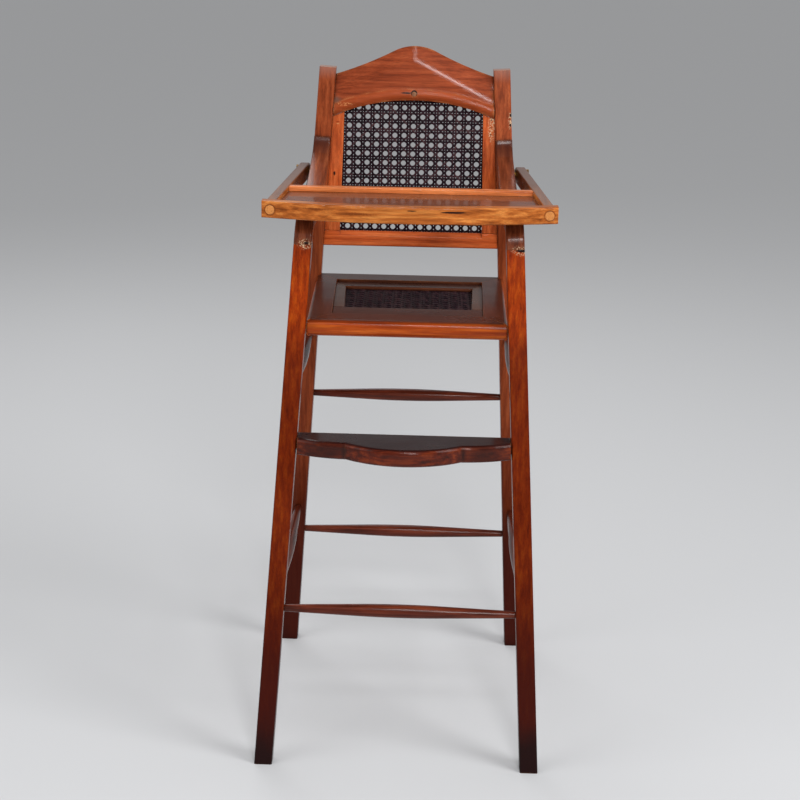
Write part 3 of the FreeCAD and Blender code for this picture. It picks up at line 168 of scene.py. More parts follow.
FIBRE_BRIGHTNESS = (0.3, 0.65, 0.76, 1.08)
PORE_BRIGHTNESS = (0.26, 0.36, 0.7, 1.0)
CLOUD_BRIGHTNESS = (0.3, 0.7, 0.88, 1.08)
WOOD_ROUGHNESS = (0.3, 0.7, 0.24, 0.38)
CANE_ROUGHNESS = (0.3, 0.7, 0.32, 0.48)
BRASS_ROUGHNESS = (0.3, 0.7, 0.55, 0.3)
FACING_UP = (0.6, 0.97)
FACING_END = (0.8, 0.95)
SPECKLE_SHARE = (0.35, 0.65, 0.55, 0.95)
EDGE_TURN = (0.97, 0.84)
WEAR_SHARE = (0.42, 0.68, 0.08, 0.75)
# Joints: occlusion painted as shade and dirt, from open to hidden
JOINT_SHADE_SHARE = (0.7, 0.25, 0, 0.75)
FLECK_CUT = (0.5, 0.58)

# Other settings of the finishes: stretch along the grain, lengths in metres, and shares

GRAIN = {
    "X": (0.045, 1.0, 1.0),
    "Y": (1.0, 0.045, 1.0),
    "Z": (1.0, 1.0, 0.045),
    "arm": (1.0, 0.045, 0.16),
}
GRAIN_STOPS = (0.25, 0.5, 0.75)
CANE_STOPS = (0.25, 0.5, 0.78)
BRASS_STOPS = (0.3, 0.55, 0.8)
EDGE_RADIUS = 0.0016
CREST_EDGE_RADIUS = 0.007
FOOTREST_EDGE_RADIUS = 0.004
JOINT_SHADE_REACH = 0.010
RAY_SAMPLES = 4
DARKENING_DRIFT = 0.12
BUMP_DEPTH = 0.0005
BAND_SOFTNESS = 0.12
ACROSS_AND_UP = (1, 0, 1)
WORN_ROUGHNESS = 0.15
KNOT_SHARE = 0.75
SKIN_SHARE = 0.6
STRAND_SHARE = 0.4
BRASS_METAL = 0.9
SHEEN = 0.06
THIN_COAT = 0.1


def tone(red, green, blue):
    """Colour as a picture shows it, 0 to 255, turned into the linear value that a shader takes."""

    def linear(level):
        """One of the three levels by itself."""
        level = level / 255
        return level / 12.92 if level <= 0.04045 else ((level + 0.055) / 1.055) ** 2.4

    return (linear(red), linear(green), linear(blue), 1)


# Colours: dark, middle and light tones of each wood, then single tones

CREST_TONES = (tone(112, 44, 18), tone(145, 62, 30), tone(168, 80, 44))
POST_TONES = (tone(112, 46, 20), tone(150, 68, 34), tone(174, 88, 48))
LEG_TONES = (tone(112, 32, 2), tone(152, 52, 4), tone(182, 78, 12))
ARM_TONES = (tone(84, 36, 18), tone(122, 58, 33), tone(150, 80, 48))
STILE_TONES = (tone(146, 56, 20), tone(190, 86, 38), tone(212, 110, 58))
# Lower back rail, lightened with painted light against the tray's shadow on it
LOWER_RAIL_LIT_TONES = (tone(156, 60, 20), tone(206, 92, 40), tone(226, 118, 62))
STRETCHER_TONES = (tone(54, 18, 8), tone(88, 34, 19), tone(120, 54, 32))
TRAY_FRONT_TONES = (tone(114, 54, 14), tone(174, 94, 36), tone(214, 136, 66))
TRAY_REAR_TONES = (tone(170, 80, 36), tone(216, 122, 66), tone(238, 150, 92))
SEAT_TONES = (tone(110, 34, 3), tone(158, 61, 9), tone(190, 92, 26))
SLIP_TONES = (tone(60, 28, 16), tone(96, 50, 30), tone(122, 68, 42))
FOOTREST_TONES = (tone(42, 9, 2), tone(88, 26, 5), tone(124, 48, 12))
PANEL_TONES = (tone(70, 34, 18), tone(112, 60, 34), tone(140, 82, 50))
PEG_TONES = (tone(150, 96, 56), tone(190, 136, 90), tone(220, 176, 130))
CANE_TONES = (tone(20, 10, 14), tone(38, 22, 30), tone(74, 50, 52))
BRASS_TONES = (tone(70, 46, 22), tone(150, 112, 52), tone(190, 152, 84))
BEAD_LIGHT = STILE_TONES[1]
STILE_DARK = STILE_TONES[0]
TRAY_FRONT_DARK = TRAY_FRONT_TONES[0]
FOOTREST_DARK = FOOTREST_TONES[0]
SEAT_TOP = tone(62, 34, 27)
# Paler top of the seat's side slips: painted sheen
SLIP_TOP_SHEEN = tone(88, 62, 50)
FOOTREST_TOP = tone(36, 16, 16)
PANEL_TOP = tone(112, 54, 26)
# Dark colour of the lower legs and posts: dirt, with painted shade
LEG_DARK = tone(54, 7, 1)
# Tray bars: painted shade behind the tray, and a top greyed by wear and a painted sheen
BAR_SHADE = tone(84, 44, 32)
BAR_TOP_WEAR_AND_SHEEN = tone(120, 92, 80)
# Painted shade at the top of the arm's sweep
ARM_SHADE = tone(62, 25, 15)
# Dark wax and dirt, also used as painted shade in joints, corners and at the feet, and as the dark of cracks
# and dents
GRIME_AND_SHADE = tone(24, 9, 9)
# Pale worn varnish; along the edges it also serves as painted highlight lines
WORN = tone(206, 132, 80)
CHIPPED = tone(222, 190, 152)
END_GRAIN = tone(160, 127, 114)
# Worn top of the posts, greyed with a painted pale sheen
POST_WORN_AND_SHEEN = tone(152, 108, 94)
TENON_END = tone(206, 136, 74)
KNOT = tone(112, 74, 60)

# Floor and light; the background has the tone that the floor has far away, so no line shows between them

FLOOR = tone(206, 207, 209)
FAR_FLOOR = tone(150.6, 151.5, 152.9)
FLOOR_REACH = 40
FLOOR_ROUGHNESS = 1.0
FLOOR_SHEEN = 0.05
STUDIO_LIGHT = 0.50
WHITE = (1, 1, 1, 1)
LAMPS = {
    "front": {"place": (0.46, -2.47, 1.77), "target": (0, 0, 0.6), "size": 0.45, "power": 20},
    "high": {"place": (0.06, -2.25, 2.40), "target": (0, 0, 0.6), "size": 0.4, "power": 12},
    "key": {"place": (2.2, -1.2, 2.4), "target": (0, 0, 0.5), "size": 1.4, "power": 42},
    "fill": {"place": (-2.0, -1.2, 1.6), "target": (0, 0, 0.5), "size": 1.8, "power": 12},
    "rear": {"place": (-0.6, 2.0, 2.4), "target": (0, 0.1, 0.6), "size": 1.6, "power": 18},
}


def make_camera():
    """Camera at the photograph's place, with its picture shifted as the photograph's crop is."""
    data = bpy.data.cameras.new("camera")
    data.sensor_width = SENSOR
    data.lens = FOCAL_PIXELS / IMAGE_SIDE * SENSOR
    data.shift_x = (IMAGE_SIDE / 2 - AXIS_PIXEL) / IMAGE_SIDE
    camera = bpy.data.objects.new("camera", data)
    bpy.context.collection.objects.link(camera)
    turn = Matrix.Rotation(math.radians(-CAMERA_YAW), 4, "Z")
    tilt = Matrix.Rotation(math.radians(90 - CAMERA_PITCH), 4, "X")
    roll = Matrix.Rotation(math.radians(CAMERA_ROLL), 4, "Z")
    camera.matrix_world = Matrix.Translation(CAMERA_PLACE) @ turn @ tilt @ roll
    bpy.context.scene.camera = camera


# Materials


class Finish:
    """Material built up in layers; each layer changes the colour, roughness or height so far."""

    def __init__(self, name, edge_radius=EDGE_RADIUS):
        self.edge_radius = edge_radius
        self.material = bpy.data.materials.new(name)
        self.material.use_nodes = True
        self.tree = self.material.node_tree
        self.shader = self.tree.nodes["Principled BSDF"]
        coordinates = self.add("ShaderNodeTexCoord")
        self.place = coordinates.outputs["Object"]
        self.facing = coordinates.outputs["Normal"]
        self.edge_normal = None

    def add(self, kind, values=None, **settings):
        """New node; a value that is a socket is linked to the named input, and any other is set on it."""
        node = self.tree.nodes.new(kind)
        for name, setting in settings.items():
            setattr(node, name, setting)
        for name, value in (values or {}).items():
            if isinstance(value, bpy.types.NodeSocket):
                self.tree.links.new(value, node.inputs[name])
            else:
                node.inputs[name].default_value = value
        return node

    def noise(self, place, scale, detail, roughness=0.55, distortion=0.0):
        """Cloudy pattern about its mean."""
        values = {
            "Vector": place,
            "Scale": scale,
            "Detail": detail,
            "Roughness": roughness,
            "Distortion": distortion,
        }
        return self.add("ShaderNodeTexNoise", values).outputs["Fac"]

    def between(self, value, low, high, to_low=0.0, to_high=1.0):
        """Value from low to high turned into to_low to to_high, with soft ends and no overshoot."""
        values = {"Value": value, "From Min": low, "From Max": high, "To Min": to_low, "To Max": to_high}
        return self.add("ShaderNodeMapRange", values, interpolation_type="SMOOTHSTEP").outputs["Result"]

    def maths(self, operation, first, second=0.0):
        """Sum with one or two numbers."""
        return self.add("ShaderNodeMath", {0: first, 1: second}, operation=operation).outputs["Value"]

    def vector(self, operation, first, second=(0, 0, 0)):
        """Sum with one or two vectors."""
        node = self.add("ShaderNodeVectorMath", {0: first, 1: second}, operation=operation)
        return node.outputs["Value" if operation in ("LENGTH", "DOT_PRODUCT") else "Vector"]

    def part(self, vector, axis):
        """One of a vector's three numbers."""
        return self.add("ShaderNodeSeparateXYZ", {"Vector": vector}).outputs[axis]

    def mix(self, factor, first, second, blend="MIX"):
        """Second colour over the first one."""
        values = {0: factor, 6: first, 7: second}
        return self.add("ShaderNodeMix", values, data_type="RGBA", blend_type=blend).outputs[2]

    def ramp(self, factor, stops, tones):
        """Colours that pass into each other as the factor goes from stop to stop."""
        node = self.add("ShaderNodeValToRGB", {"Fac": factor})
        elements = node.color_ramp.elements
        while len(elements) < len(stops):
            elements.new(1.0)
        for element, position, colour in zip(elements, stops, tones):
            element.position = position
            element.color = colour
        return node.outputs["Color"]

    def cover(self, mask, colour):
        """Another colour where the mask is."""
        self.colour = self.mix(mask, self.colour, colour)

    def shade(self, brightness):
        """Colour so far, made darker or lighter."""
        self.colour = self.mix(1.0, self.colour, brightness, "MULTIPLY")

    def grain(self, stretch, tones):
        """Straight figure and fine fibres along the grain, under unevenly clouded varnish."""
        along = self.add("ShaderNodeMapping", {"Vector": self.place, "Scale": stretch}).outputs["Vector"]
        figure = self.noise(along, **FIGURE)
        fibre = self.noise(along, **FIBRE)
        pore = self.noise(along, **PORE)
        self.cloud = self.noise(self.place, **CLOUD)
        self.colour = self.ramp(figure, GRAIN_STOPS, tones)
        self.shade(self.between(fibre, *FIBRE_BRIGHTNESS))
        self.shade(self.between(pore, *PORE_BRIGHTNESS))
        self.shade(self.between(self.cloud, *CLOUD_BRIGHTNESS))
        self.rough = self.between(self.cloud, *WOOD_ROUGHNESS)
        self.height = self.maths("ADD", fibre, figure)
        return self

    def normals(self):
        """Normals with the piece's edges rounded, and without."""
        if self.edge_normal is None:
            bevel = self.add("ShaderNodeBevel", {"Radius": self.edge_radius}, samples=RAY_SAMPLES)
            self.edge_normal = bevel.outputs["Normal"]
            self.flat_normal = self.add("ShaderNodeNewGeometry").outputs["Normal"]
        return self.edge_normal, self.flat_normal

    def upward_wear_and_sheen(self, colour, share):
        """Colour on the surfaces that face up when the chair is at rest: wear, and on the tray's bars and
        the seat's side slips also a painted sheen.
        """
        up = self.part(self.facing, "Z")
        self.cover(self.between(up, *FACING_UP, 0, share), colour)
        return self

    def end_grain(self, axis, colour):
        """Speckled colour where the grain is cut across."""
        square = self.maths("ABSOLUTE", self.part(self.facing, axis))
        speckle = self.between(self.noise(self.place, **SPECKLE), *SPECKLE_SHARE)
        self.cover(self.maths("MULTIPLY", self.between(square, *FACING_END), speckle), colour)
        return self

    def rubbed_edges_and_highlights(self):
        """Varnish worn through along the edges, in patches; this pale worn colour also serves as painted
        highlight lines along the edges.
        """
        rounded, flat = self.normals()
        turn = self.vector("DOT_PRODUCT", rounded, flat)
        patch = self.between(self.noise(self.place, **WEAR), *WEAR_SHARE)
        worn = self.maths("MULTIPLY", self.between(turn, *EDGE_TURN), patch)
        self.cover(worn, WORN)
        self.rough = self.maths("ADD", self.rough, self.maths("MULTIPLY", worn, WORN_ROUGHNESS))
        return self

    def grimy_and_shaded(self, own_only=False):
        """Dark wax and dirt where pieces meet, with painted occlusion shade in corners and under other
        pieces; or only in the piece's own corners.
        """
        reach = {"Distance": JOINT_SHADE_REACH}
        joint = self.add("ShaderNodeAmbientOcclusion", reach, samples=RAY_SAMPLES, only_local=own_only)
        self.cover(self.between(joint.outputs["AO"], *JOINT_SHADE_SHARE), GRIME_AND_SHADE)
        return self

    def darkened(self, span, colour, share):
        """Darker colour that comes in unevenly from one height down to another."""
        drift = self.maths("MULTIPLY", self.maths("SUBTRACT", NOISE_MEAN, self.cloud), DARKENING_DRIFT)
        level = self.maths("ADD", self.part(self.place, "Z"), drift)
        self.cover(self.between(level, *span, 0, share), colour)
        return self

    def fading(self, axis, span, colour, share):
        """Another colour that comes in along an axis of the chair."""
        self.cover(self.between(self.part(self.place, axis), *span, 0, share), colour)
        return self

    def spot(self, middle, radii, raggedness, softness):
        """Mask of a ragged spot about a place on the piece."""
        offset = self.vector("SUBTRACT", self.place, middle)
        distance = self.vector("LENGTH", self.vector("DIVIDE", offset, radii))
        rag = self.maths("MULTIPLY", self.noise(self.place, **RAG), raggedness)
        distance = self.maths("ADD", distance, self.maths("SUBTRACT", rag, raggedness * NOISE_MEAN))
        return self.between(distance, 1.0, 1.0 - softness)

    def mark(self, middle, radii, colour, edge=RAGGED_EDGE):
        """Spot of another colour."""
        self.cover(self.spot(middle, radii, *edge), colour)
        return self

    def flecks(self, middle, radii, colour):
        """Chipped varnish: flecks scattered thinly about a place."""
        scatter = self.between(self.noise(self.place, **FLECK), *FLECK_CUT)
        self.cover(self.maths("MULTIPLY", self.spot(middle, radii, *FLECK_EDGE), scatter), colour)
        return self

    def band(self, middle, inner, outer, colour, share):
        """Colour between two distances from a middle, measured across the chair and up."""
        offset = self.vector("SUBTRACT", self.place, middle)
        distance = self.vector("LENGTH", self.vector("MULTIPLY", offset, ACROSS_AND_UP))
        soft = (outer - inner) * BAND_SOFTNESS
        above = self.between(distance, inner - soft, inner + soft)
        below = self.between(distance, outer + soft, outer - soft, 0, share)
        self.cover(self.maths("MULTIPLY", above, below), colour)
        return self

    def varnished(self, coat=0.3, coat_roughness=0.14, bump=0.2):
        """Links what the layers made to the shader, under a coat of varnish."""
        values = {"Strength": bump, "Distance": BUMP_DEPTH, "Height": self.height}
        if self.edge_normal:
            values["Normal"] = self.edge_normal
            self.tree.links.new(self.edge_normal, self.shader.inputs["Coat Normal"])
        ripple = self.add("ShaderNodeBump", values).outputs["Normal"]
        self.tree.links.new(self.colour, self.shader.inputs["Base Color"])
        self.tree.links.new(self.rough, self.shader.inputs["Roughness"])
        self.tree.links.new(ripple, self.shader.inputs["Normal"])
        self.shader.inputs["Specular IOR Level"].default_value = SHEEN
        self.shader.inputs["Coat Weight"].default_value = coat
        self.shader.inputs["Coat Roughness"].default_value = coat_roughness
        return self.material


def wood(name, axis, tones, edge_radius=EDGE_RADIUS):
    """Bare wood with its grain along an axis of the chair, for other layers to be laid on."""
    return Finish(name, edge_radius).grain(GRAIN[axis], tones)


def mirrored(mark, side):
    """Mark of wear on the right for side 1, or at the same place on the left for side -1."""
    (x, y, z), radii = mark
    return (side * x, y, z), radii


def rail_finish(name, axis, tones, own_only=False):
    """Rail or stretcher with no marks but worn edges, which also serve as painted highlights, and dark
    joints with painted occlusion shade.
    """
    return wood(name, axis, tones).rubbed_edges_and_highlights().grimy_and_shaded(own_only).varnished()


def crest_finish():
    """Crest rail: lighter bead along the arch, dark rim and crack at its peg, and a worn left end."""
    finish = wood("crest_varnish", "X", CREST_TONES, CREST_EDGE_RADIUS)
    middle = BACK_ORIGIN + BACK_UP * (ARCH_CROWN - ARCH_RADIUS)
    bead_low = ARCH_RADIUS - BEAD_LIGHT_BELOW
    bead_high = ARCH_RADIUS + BEAD_HEIGHT - BEAD_LIGHT_SHORT
    finish.band(middle, bead_low, bead_high, BEAD_LIGHT, share=0.25)
    finish.rubbed_edges_and_highlights().grimy_and_shaded()
    finish.mark(*CREST_STAIN, KNOT, STAIN_EDGE)
    finish.flecks(*CREST_CHIPS, WORN)
    finish.mark(*PEG_CRACK, GRIME_AND_SHADE)
    finish.mark(*PEG_RIM, GRIME_AND_SHADE, NEAT_EDGE)
    return finish.varnished()


def knot_finish():
    """Plug in the crest's bead: greyed end grain."""
    finish = wood("peg_knot", "Y", PEG_TONES)
    finish.cover(KNOT_SHARE, KNOT)
    return finish.rubbed_edges_and_highlights().varnished(coat=0.1, coat_roughness=0.3)


def post_finish(side):
    """Rear post: dark below with dirt and painted shade, greyed at its top by wear and a painted pale sheen,
    and the right one chipped beside the cane.
    """
    finish = wood("post_varnish_" + side, "Z", POST_TONES)
    # Dirt and painted shade below the seat, black at the foot; wear with a painted pale sheen at the top
    finish.darkened(POST_DIRT_AND_SHADE_SPAN, LEG_DARK, share=0.95)
    finish.darkened(POST_FOOT_SPAN, GRIME_AND_SHADE, share=0.9)
    finish.fading("Z", POST_WORN_AND_SHEEN_SPAN, POST_WORN_AND_SHEEN, share=0.6)
    finish.end_grain("Z", END_GRAIN).rubbed_edges_and_highlights().grimy_and_shaded()
    if side == "right":
        finish.flecks(*POST_CHIPS, CHIPPED)
        finish.mark(*POST_UPPER_DENT, GRIME_AND_SHADE)
        finish.mark(*POST_LOWER_DENT, GRIME_AND_SHADE)
    return finish.varnished(THIN_COAT)


def leg_finish(side):
    """Front leg: painted shade below the seat, darker again towards the floor with dirt and painted shade,
    black at the foot, and chipped under the arm's knee.
    """
    finish = wood("leg_varnish_" + side, "Z", LEG_TONES)
    # Painted shade under the seat, then dirt and painted shade towards the floor
    finish.darkened(LEG_SEAT_SHADE_SPAN, LEG_DARK, share=0.6)
    finish.darkened(LEG_LOWER_SPAN, LEG_DARK, share=0.9)
    finish.darkened(LEG_FOOT_SPAN, GRIME_AND_SHADE, share=0.9)
    finish.rubbed_edges_and_highlights().grimy_and_shaded()
    return knee_chips(finish, side).varnished(THIN_COAT)


def arm_finish(side):
    """Arm: painted shade at the top of its sweep, and chipped with the leg at its knee."""
    finish = wood("arm_varnish_" + side, "arm", ARM_TONES)
    finish.fading("Z", ARM_SHADE_SPAN, ARM_SHADE, share=0.8).rubbed_edges_and_highlights().grimy_and_shaded()
    return knee_chips(finish, side).varnished()


def knee_chips(finish, side):
    """Open joint between an arm's knee and the leg below it, with the varnish chipped round it."""
    finish.flecks(*KNEE_CHIPS[side], CHIPPED)
    finish.mark(*KNEE_CRACK[side], GRIME_AND_SHADE)
    return finish


def stile_finish(side):
    """Stile beside the cane: a small knot and a scar in the left one, chipped varnish on the right one."""
    finish = wood("stile_varnish_" + side, "Z", STILE_TONES).rubbed_edges_and_highlights().grimy_and_shaded()
    if side == "left":
        finish.mark(*STILE_KNOT, GRIME_AND_SHADE, SMOOTH_EDGE)
        finish.mark(*STILE_DARK_SCAR, STILE_DARK, SMOOTH_EDGE)
        finish.mark(*STILE_PALE_SCAR, WORN, SMOOTH_EDGE)
    else:
        finish.flecks(*STILE_CHIPS, CHIPPED)
        for height in STILE_DENT_HEIGHTS:
            finish.mark((STILE_DENT_X, STILE_DENT_Y, height), STILE_DENT_SIZE, GRIME_AND_SHADE, SMOOTH_EDGE)
    return finish.varnished()


def tray_front_finish():
    """Front rail of the tray: yellower, streaked wood with dark rings round its tenons and two cracks."""
    finish = wood("tray_front_varnish", "X", TRAY_FRONT_TONES).rubbed_edges_and_highlights().grimy_and_shaded(own_only=True)
    ring = (TENON_RADIUS, TENON_RADIUS + TENON_RING)
    for side in (-1, 1):
        finish.band((side * TENON_X, 0, TENON_Z), *ring, TRAY_FRONT_DARK, share=0.6)
    finish.mark(*TRAY_LONG_CRACK, GRIME_AND_SHADE, NEAT_EDGE)
    finish.mark(*TRAY_SHORT_CRACK, GRIME_AND_SHADE, NEAT_EDGE)
    finish.mark(*TRAY_INNER_STREAK, TRAY_FRONT_DARK, STREAK_EDGE)
    finish.mark(*TRAY_OUTER_STREAK, TRAY_FRONT_DARK, STREAK_EDGE)
    return finish.varnished()


def seat_finish(name, axis, tones, top):
    """Rail or slip of the seat, with a dark worn top; the side slips' top is paler with a painted sheen."""
    return wood(name, axis, tones).upward_wear_and_sheen(top, share=0.9).rubbed_edges_and_highlights().grimy_and_shaded().varnished(coat=0.25)


def footrest_finish():
    """Footrest board: dark worn top, and a front edge with painted shadow at its cusps and darker towards
    its ends.
    """
    finish = wood("footrest_varnish", "X", FOOTREST_TONES, FOOTREST_EDGE_RADIUS)
    finish.upward_wear_and_sheen(FOOTREST_TOP, share=0.95).rubbed_edges_and_highlights().grimy_and_shaded()
    for side in (-1, 1):
        finish.mark(*mirrored(FOOTREST_END, side), FOOTREST_DARK, FADED_EDGE)
        # Painted shadow at the cusps
        finish.mark(*mirrored(FOOTREST_CUSP_SHADOW, side), FOOTREST_DARK, CUSP_EDGE)
    return finish.varnished(coat=0.35, coat_roughness=0.12)


def tray_panel_finish():
    """Polished board of the tray."""
    finish = wood("tray_board", "X", PANEL_TONES).upward_wear_and_sheen(PANEL_TOP, share=0.6)
    return finish.rubbed_edges_and_highlights().grimy_and_shaded(own_only=True).varnished(coat=0.4, coat_roughness=0.06)


def tray_bar_finish():
    """Bar of the tray: greyed top with wear and a painted sheen, painted shade behind the tray, and the pale
    end of its tenon in the front rail.
    """
    finish = wood("tray_bar_varnish", "Y", TRAY_FRONT_TONES).end_grain("Y", TENON_END)
    finish.fading("Y", BAR_SHADE_SPAN, BAR_SHADE, share=0.85).upward_wear_and_sheen(BAR_TOP_WEAR_AND_SHEEN, share=0.75)
    return finish.rubbed_edges_and_highlights().grimy_and_shaded(own_only=True).varnished()


def cane_finish():
    """Dark stained cane: near-black brown-violet skin with a dull shine."""
    finish = Finish("stained_cane")
    strand = finish.add("ShaderNodeAttribute", attribute_name="strand_tone").outputs["Fac"]
    finish.height = finish.noise(finish.place, **CANE_SKIN)
    skin = finish.maths("MULTIPLY", finish.height, SKIN_SHARE)
    shade = finish.maths("ADD", skin, finish.maths("MULTIPLY", strand, STRAND_SHARE))
    finish.colour = finish.ramp(shade, CANE_STOPS, CANE_TONES)
    finish.rough = finish.between(finish.height, *CANE_ROUGHNESS)
    return finish.varnished(coat=0.0, coat_roughness=0.1, bump=0.3)


def brass_finish():
    """Old brass of the pivots: dull yellow metal with brown patches."""
    finish = Finish("tarnished_brass")
    finish.height = finish.noise(finish.place, **TARNISH)
    finish.colour = finish.ramp(finish.height, BRASS_STOPS, BRASS_TONES)
    finish.rough = finish.between(finish.height, *BRASS_ROUGHNESS)
    finish.shader.inputs["Metallic"].default_value = BRASS_METAL
    return finish.varnished(coat=0.0, coat_roughness=0.1, bump=0.1)


def set_finishes():
    """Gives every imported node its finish, with the grain along the piece."""
    finishes = {
        "crest_rail": crest_finish(),
        "crest_peg": knot_finish(),
        "lower_back_rail": rail_finish("lower_rail_varnish", "X", LOWER_RAIL_LIT_TONES),
        "footrest_board": footrest_finish(),
        "tray_front_rail": tray_front_finish(),
        "tray_rear_rail": rail_finish("tray_rear_varnish", "X", TRAY_REAR_TONES, own_only=True),
        "tray_panel": tray_panel_finish(),
    }
    across = rail_finish("cross_varnish", "X", STRETCHER_TONES)
    for node in ("front_stretcher", "rear_stretcher_upper", "rear_stretcher_lower"):
        finishes[node] = across
    lengthways = rail_finish("side_varnish", "Y", STRETCHER_TONES)
    seat_side = seat_finish("seat_side_varnish", "Y", SEAT_TONES, SEAT_TOP)
    slip_side = seat_finish("slip_side_varnish", "Y", SLIP_TONES, SLIP_TOP_SHEEN)
    bar = tray_bar_finish()
    brass = brass_finish()
    for side in ("left", "right"):
        finishes["rear_post_" + side] = post_finish(side)
        finishes["front_leg_" + side] = leg_finish(side)
        finishes["arm_" + side] = arm_finish(side)
        finishes["back_stile_" + side] = stile_finish(side)
        finishes["side_stretcher_upper_" + side] = lengthways
        finishes["side_stretcher_lower_" + side] = lengthways
        finishes["seat_side_rail_" + side] = seat_side
        finishes["seat_slip_" + side] = slip_side
        finishes["tray_bar_" + side] = bar
        finishes["tray_pivot_pin_" + side] = brass
    finishes["pivot_washers"] = brass
    finishes["seat_front_rail"] = seat_finish("seat_front_varnish", "X", SEAT_TONES, SEAT_TOP)
    slip_cross = seat_finish("slip_cross_varnish", "X", SLIP_TONES, SEAT_TOP)
    for node in ("seat_rear_rail", "seat_slip_front", "seat_slip_rear"):
        finishes[node] = slip_cross
    for node in ("arm_dowels", "seat_dowels", "tray_panel_pins"):
        bare = wood(node + "_wood", "Y", PEG_TONES).rubbed_edges_and_highlights()
        finishes[node] = bare.varnished(coat=0.1, coat_roughness=0.3)
    for node, material in finishes.items():
        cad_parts[node].material_slots[0].material = material


# Woven cane


class Weave:
    """Six-way cane in a flat panel: paired uprights and cross strands with two diagonals through them."""

    def __init__(self, gap, inside, stand, sizes):
        self.gap = gap
        self.inside = inside
        self.stand = stand
        self.sizes = sizes
        self.points = []
        self.faces = []
        self.tones = []
        self.draw = random.Random(TONE_SEED)

    def across(self, x, y):
        """Place counted in gaps from a gap's middle."""
        return (x - self.gap[0]) / CANE_PITCH, (y - self.gap[1]) / CANE_PITCH

    def strand(self, start, direction, width, lift):
        """One strand along the line, as far as the panel goes, raised and lowered by lift."""
        steps = [step * LINE_STEP - LINE_REACH for step in range(int(2 * LINE_REACH / LINE_STEP))]
        held = [t for t in steps if self.inside(start[0] + direction[0] * t, start[1] + direction[1] * t)]
        if len(held) < 2 or held[-1] - held[0] < CANE_PITCH / 2:
            return
        straight = 0 in direction
        step = CANE_PITCH / STEPS_PER_PITCH * (1 if straight else math.sqrt(2))
        count = max(2, round((held[-1] - held[0]) / step))
        side = (direction[1], -direction[0])
        strand_tone = self.draw.random()
        first = len(self.points)
        ring = len(STRAND_PROFILE)
        for index in range(count + 1):
            t = held[0] + (held[-1] - held[0]) * index / count
            x = start[0] + direction[0] * t
            y = start[1] + direction[1] * t
            raised = lift(*self.across(x, y))
            for offset, height in STRAND_PROFILE:
                shift = offset * width
                place = (x + side[0] * shift, y + side[1] * shift, raised + height * self.sizes["thickness"])
                self.points.append(self.stand(*place))
                self.tones.append(strand_tone)
            if index:
                low = first + (index - 1) * ring
                for corner in range(ring):
                    after = (corner + 1) % ring
                    self.faces.append((low + corner, low + ring + corner, low + ring + after, low + after))
        last = first + count * ring
        self.faces.append(tuple(range(first, first + ring)))
        self.faces.append(tuple(reversed(range(last, last + ring))))

    def pairs(self):
        """Uprights and cross strands, which pass over and under each other where two pairs meet."""

        def crossing(distance, sign):
            """Height of a strand beside the pair that it crosses."""
            nearest = (distance - 0.5 - round(distance - 0.5)) * CANE_PITCH / self.sizes["offset"]
            return PAIR_LIFT * sign * nearest * math.exp(1 - abs(nearest))

        for number in range(-PAIRS_EACH_WAY, PAIRS_EACH_WAY):
            for sign in (-1, 1):
                shift = (number + 0.5) * CANE_PITCH + sign * self.sizes["offset"]
                upright = (self.gap[0] + shift, self.gap[1])
                self.strand(upright, (0, 1), self.sizes["pair"], lambda u, v, s=sign: crossing(v, s))
                level = (self.gap[0], self.gap[1] + shift)
                self.strand(level, (1, 0), self.sizes["pair"], lambda u, v, s=sign: crossing(u, -s))

    def diagonals(self):
        """Two slanting families: one over the uprights and under the cross strands, one the other way."""

        def passing(across, lean):
            """Height of a diagonal at its place across the gaps."""
            return -lean * DIAGONAL_LIFT * math.cos(2 * math.pi * across)

        slant = math.sqrt(0.5)
        for number in range(-DIAGONALS_EACH_WAY, DIAGONALS_EACH_WAY):
            start = (self.gap[0] + (number + 0.5) * CANE_PITCH, self.gap[1])
            for lean in (1, -1):
                direction = (lean * slant, slant)
                self.strand(start, direction, self.sizes["diagonal"], lambda u, v, s=lean: passing(u, s))

    def piece(self, name, material):
        """Mesh object of all the strands, each with its own shade."""
        mesh = bpy.data.meshes.new(name)
        mesh.from_pydata(self.points, [], self.faces)
        mesh.polygons.foreach_set("use_smooth", [True] * len(mesh.polygons))
        mesh.attributes.new("strand_tone", "FLOAT", "POINT").data.foreach_set("value", self.tones)
        mesh.materials.append(material)
        piece = bpy.data.objects.new(name, mesh)
        bpy.context.collection.objects.link(piece)
        return piece


def inside_back(x, w):
    """Whether a place in the back's plane lies in the cane's opening or in the groove round it."""
    share = (w - BACK_LOW) / (BACK_HIGH - BACK_LOW)
    half = BACK_LOW_HALF + (BACK_HIGH_HALF - BACK_LOW_HALF) * share + GROOVE_DEPTH
    under_arch = math.hypot(x, w - ARCH_CROWN + ARCH_RADIUS) < ARCH_RADIUS + GROOVE_DEPTH
    return abs(x) < half and w > BACK_LOW - GROOVE_DEPTH and under_arch


def stand_back(x, w, raised):
    """Place on the chair of a point in the back's plane."""
    return BACK_ORIGIN + Vector((x, 0, 0)) + BACK_UP * w + BACK_FRONT * raised


def inside_seat(x, y):
    """Whether a place in the seat's plane lies in the cane's opening or in the groove round it."""
    share = (y - SEAT_FRONT) / (SEAT_REAR - SEAT_FRONT)
    half = SEAT_FRONT_HALF + (SEAT_REAR_HALF - SEAT_FRONT_HALF) * share + GROOVE_DEPTH
    return abs(x) < half and SEAT_FRONT - GROOVE_DEPTH < y < SEAT_REAR + GROOVE_DEPTH


def stand_seat(x, y, raised):
    """Place on the chair of a point in the seat's plane."""
    return Vector((x, y, SEAT_CANE_HEIGHT + raised))


def make_cane(name, node, weave, material):
    """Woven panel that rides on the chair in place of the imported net."""
    weave.pairs()
    weave.diagonals()
    piece = weave.piece(name, material)
    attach(piece, "chair")
    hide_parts(node)


# Floor and light


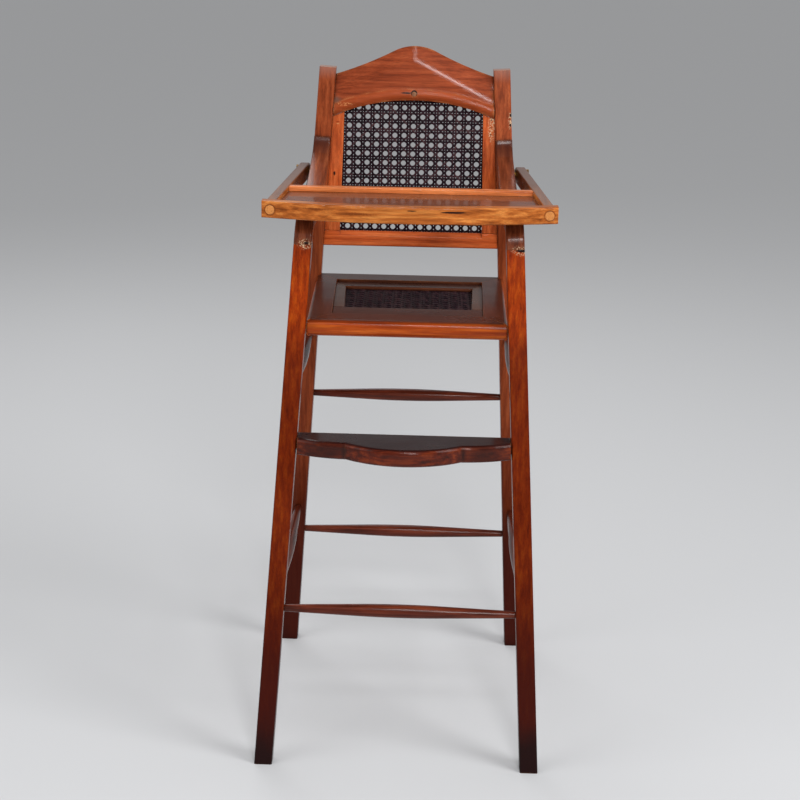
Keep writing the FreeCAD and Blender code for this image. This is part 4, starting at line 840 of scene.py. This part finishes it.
def make_floor():
    """Plain pale floor that keeps the object's shadow."""
    reach = FLOOR_REACH
    corners = [(-reach, -reach, 0), (reach, -reach, 0), (reach, reach, 0), (-reach, reach, 0)]
    mesh = bpy.data.meshes.new("floor")
    mesh.from_pydata(corners, [], [(0, 1, 2, 3)])
    material = bpy.data.materials.new("pale_floor")
    material.use_nodes = True
    shader = material.node_tree.nodes["Principled BSDF"]
    shader.inputs["Base Color"].default_value = FLOOR
    shader.inputs["Roughness"].default_value = FLOOR_ROUGHNESS
    shader.inputs["Specular IOR Level"].default_value = FLOOR_SHEEN
    mesh.materials.append(material)
    floor = bpy.data.objects.new("floor", mesh)
    bpy.context.collection.objects.link(floor)


def make_lamp(name, place, target, size, power):
    """Round soft lamp that points at a target."""
    data = bpy.data.lights.new(name, "AREA")
    data.shape = "DISK"
    data.size = size
    data.energy = power
    lamp = bpy.data.objects.new(name, data)
    bpy.context.collection.objects.link(lamp)
    lamp.location = place
    lamp.rotation_euler = (Vector(target) - Vector(place)).to_track_quat("-Z", "Y").to_euler()


def make_world():
    """Even studio light, and the pale background that the camera and polished surfaces see."""
    world = bpy.data.worlds.new("studio")
    world.use_nodes = True
    bpy.context.scene.world = world
    tree = world.node_tree
    light = tree.nodes["Background"]
    light.inputs["Color"].default_value = WHITE
    light.inputs["Strength"].default_value = STUDIO_LIGHT
    path = tree.nodes.new("ShaderNodeLightPath")
    seen = path.outputs["Is Camera Ray"]
    for kind in ("Is Glossy Ray", "Is Transmission Ray"):
        either = tree.nodes.new("ShaderNodeMath")
        either.operation = "MAXIMUM"
        tree.links.new(seen, either.inputs[0])
        tree.links.new(path.outputs[kind], either.inputs[1])
        seen = either.outputs["Value"]
    backdrop = tree.nodes.new("ShaderNodeBackground")
    backdrop.inputs["Color"].default_value = FAR_FLOOR
    choice = tree.nodes.new("ShaderNodeMixShader")
    tree.links.new(seen, choice.inputs[0])
    tree.links.new(light.outputs[0], choice.inputs[1])
    tree.links.new(backdrop.outputs[0], choice.inputs[2])
    tree.links.new(choice.outputs[0], tree.nodes["World Output"].inputs["Surface"])


make_camera()
set_finishes()
cane = cane_finish()
back_weave = Weave(BACK_GAP, inside_back, stand_back, BACK_STRANDS)
make_cane("back_cane_weave", "back_cane_panel", back_weave, cane)
seat_weave = Weave(SEAT_GAP, inside_seat, stand_seat, SEAT_STRANDS)
make_cane("seat_cane_weave", "seat_cane_panel", seat_weave, cane)
make_floor()
make_world()
for lamp_name, lamp in LAMPS.items():
    make_lamp(lamp_name, **lamp)
bpy.context.scene.view_settings.view_transform = "Standard"
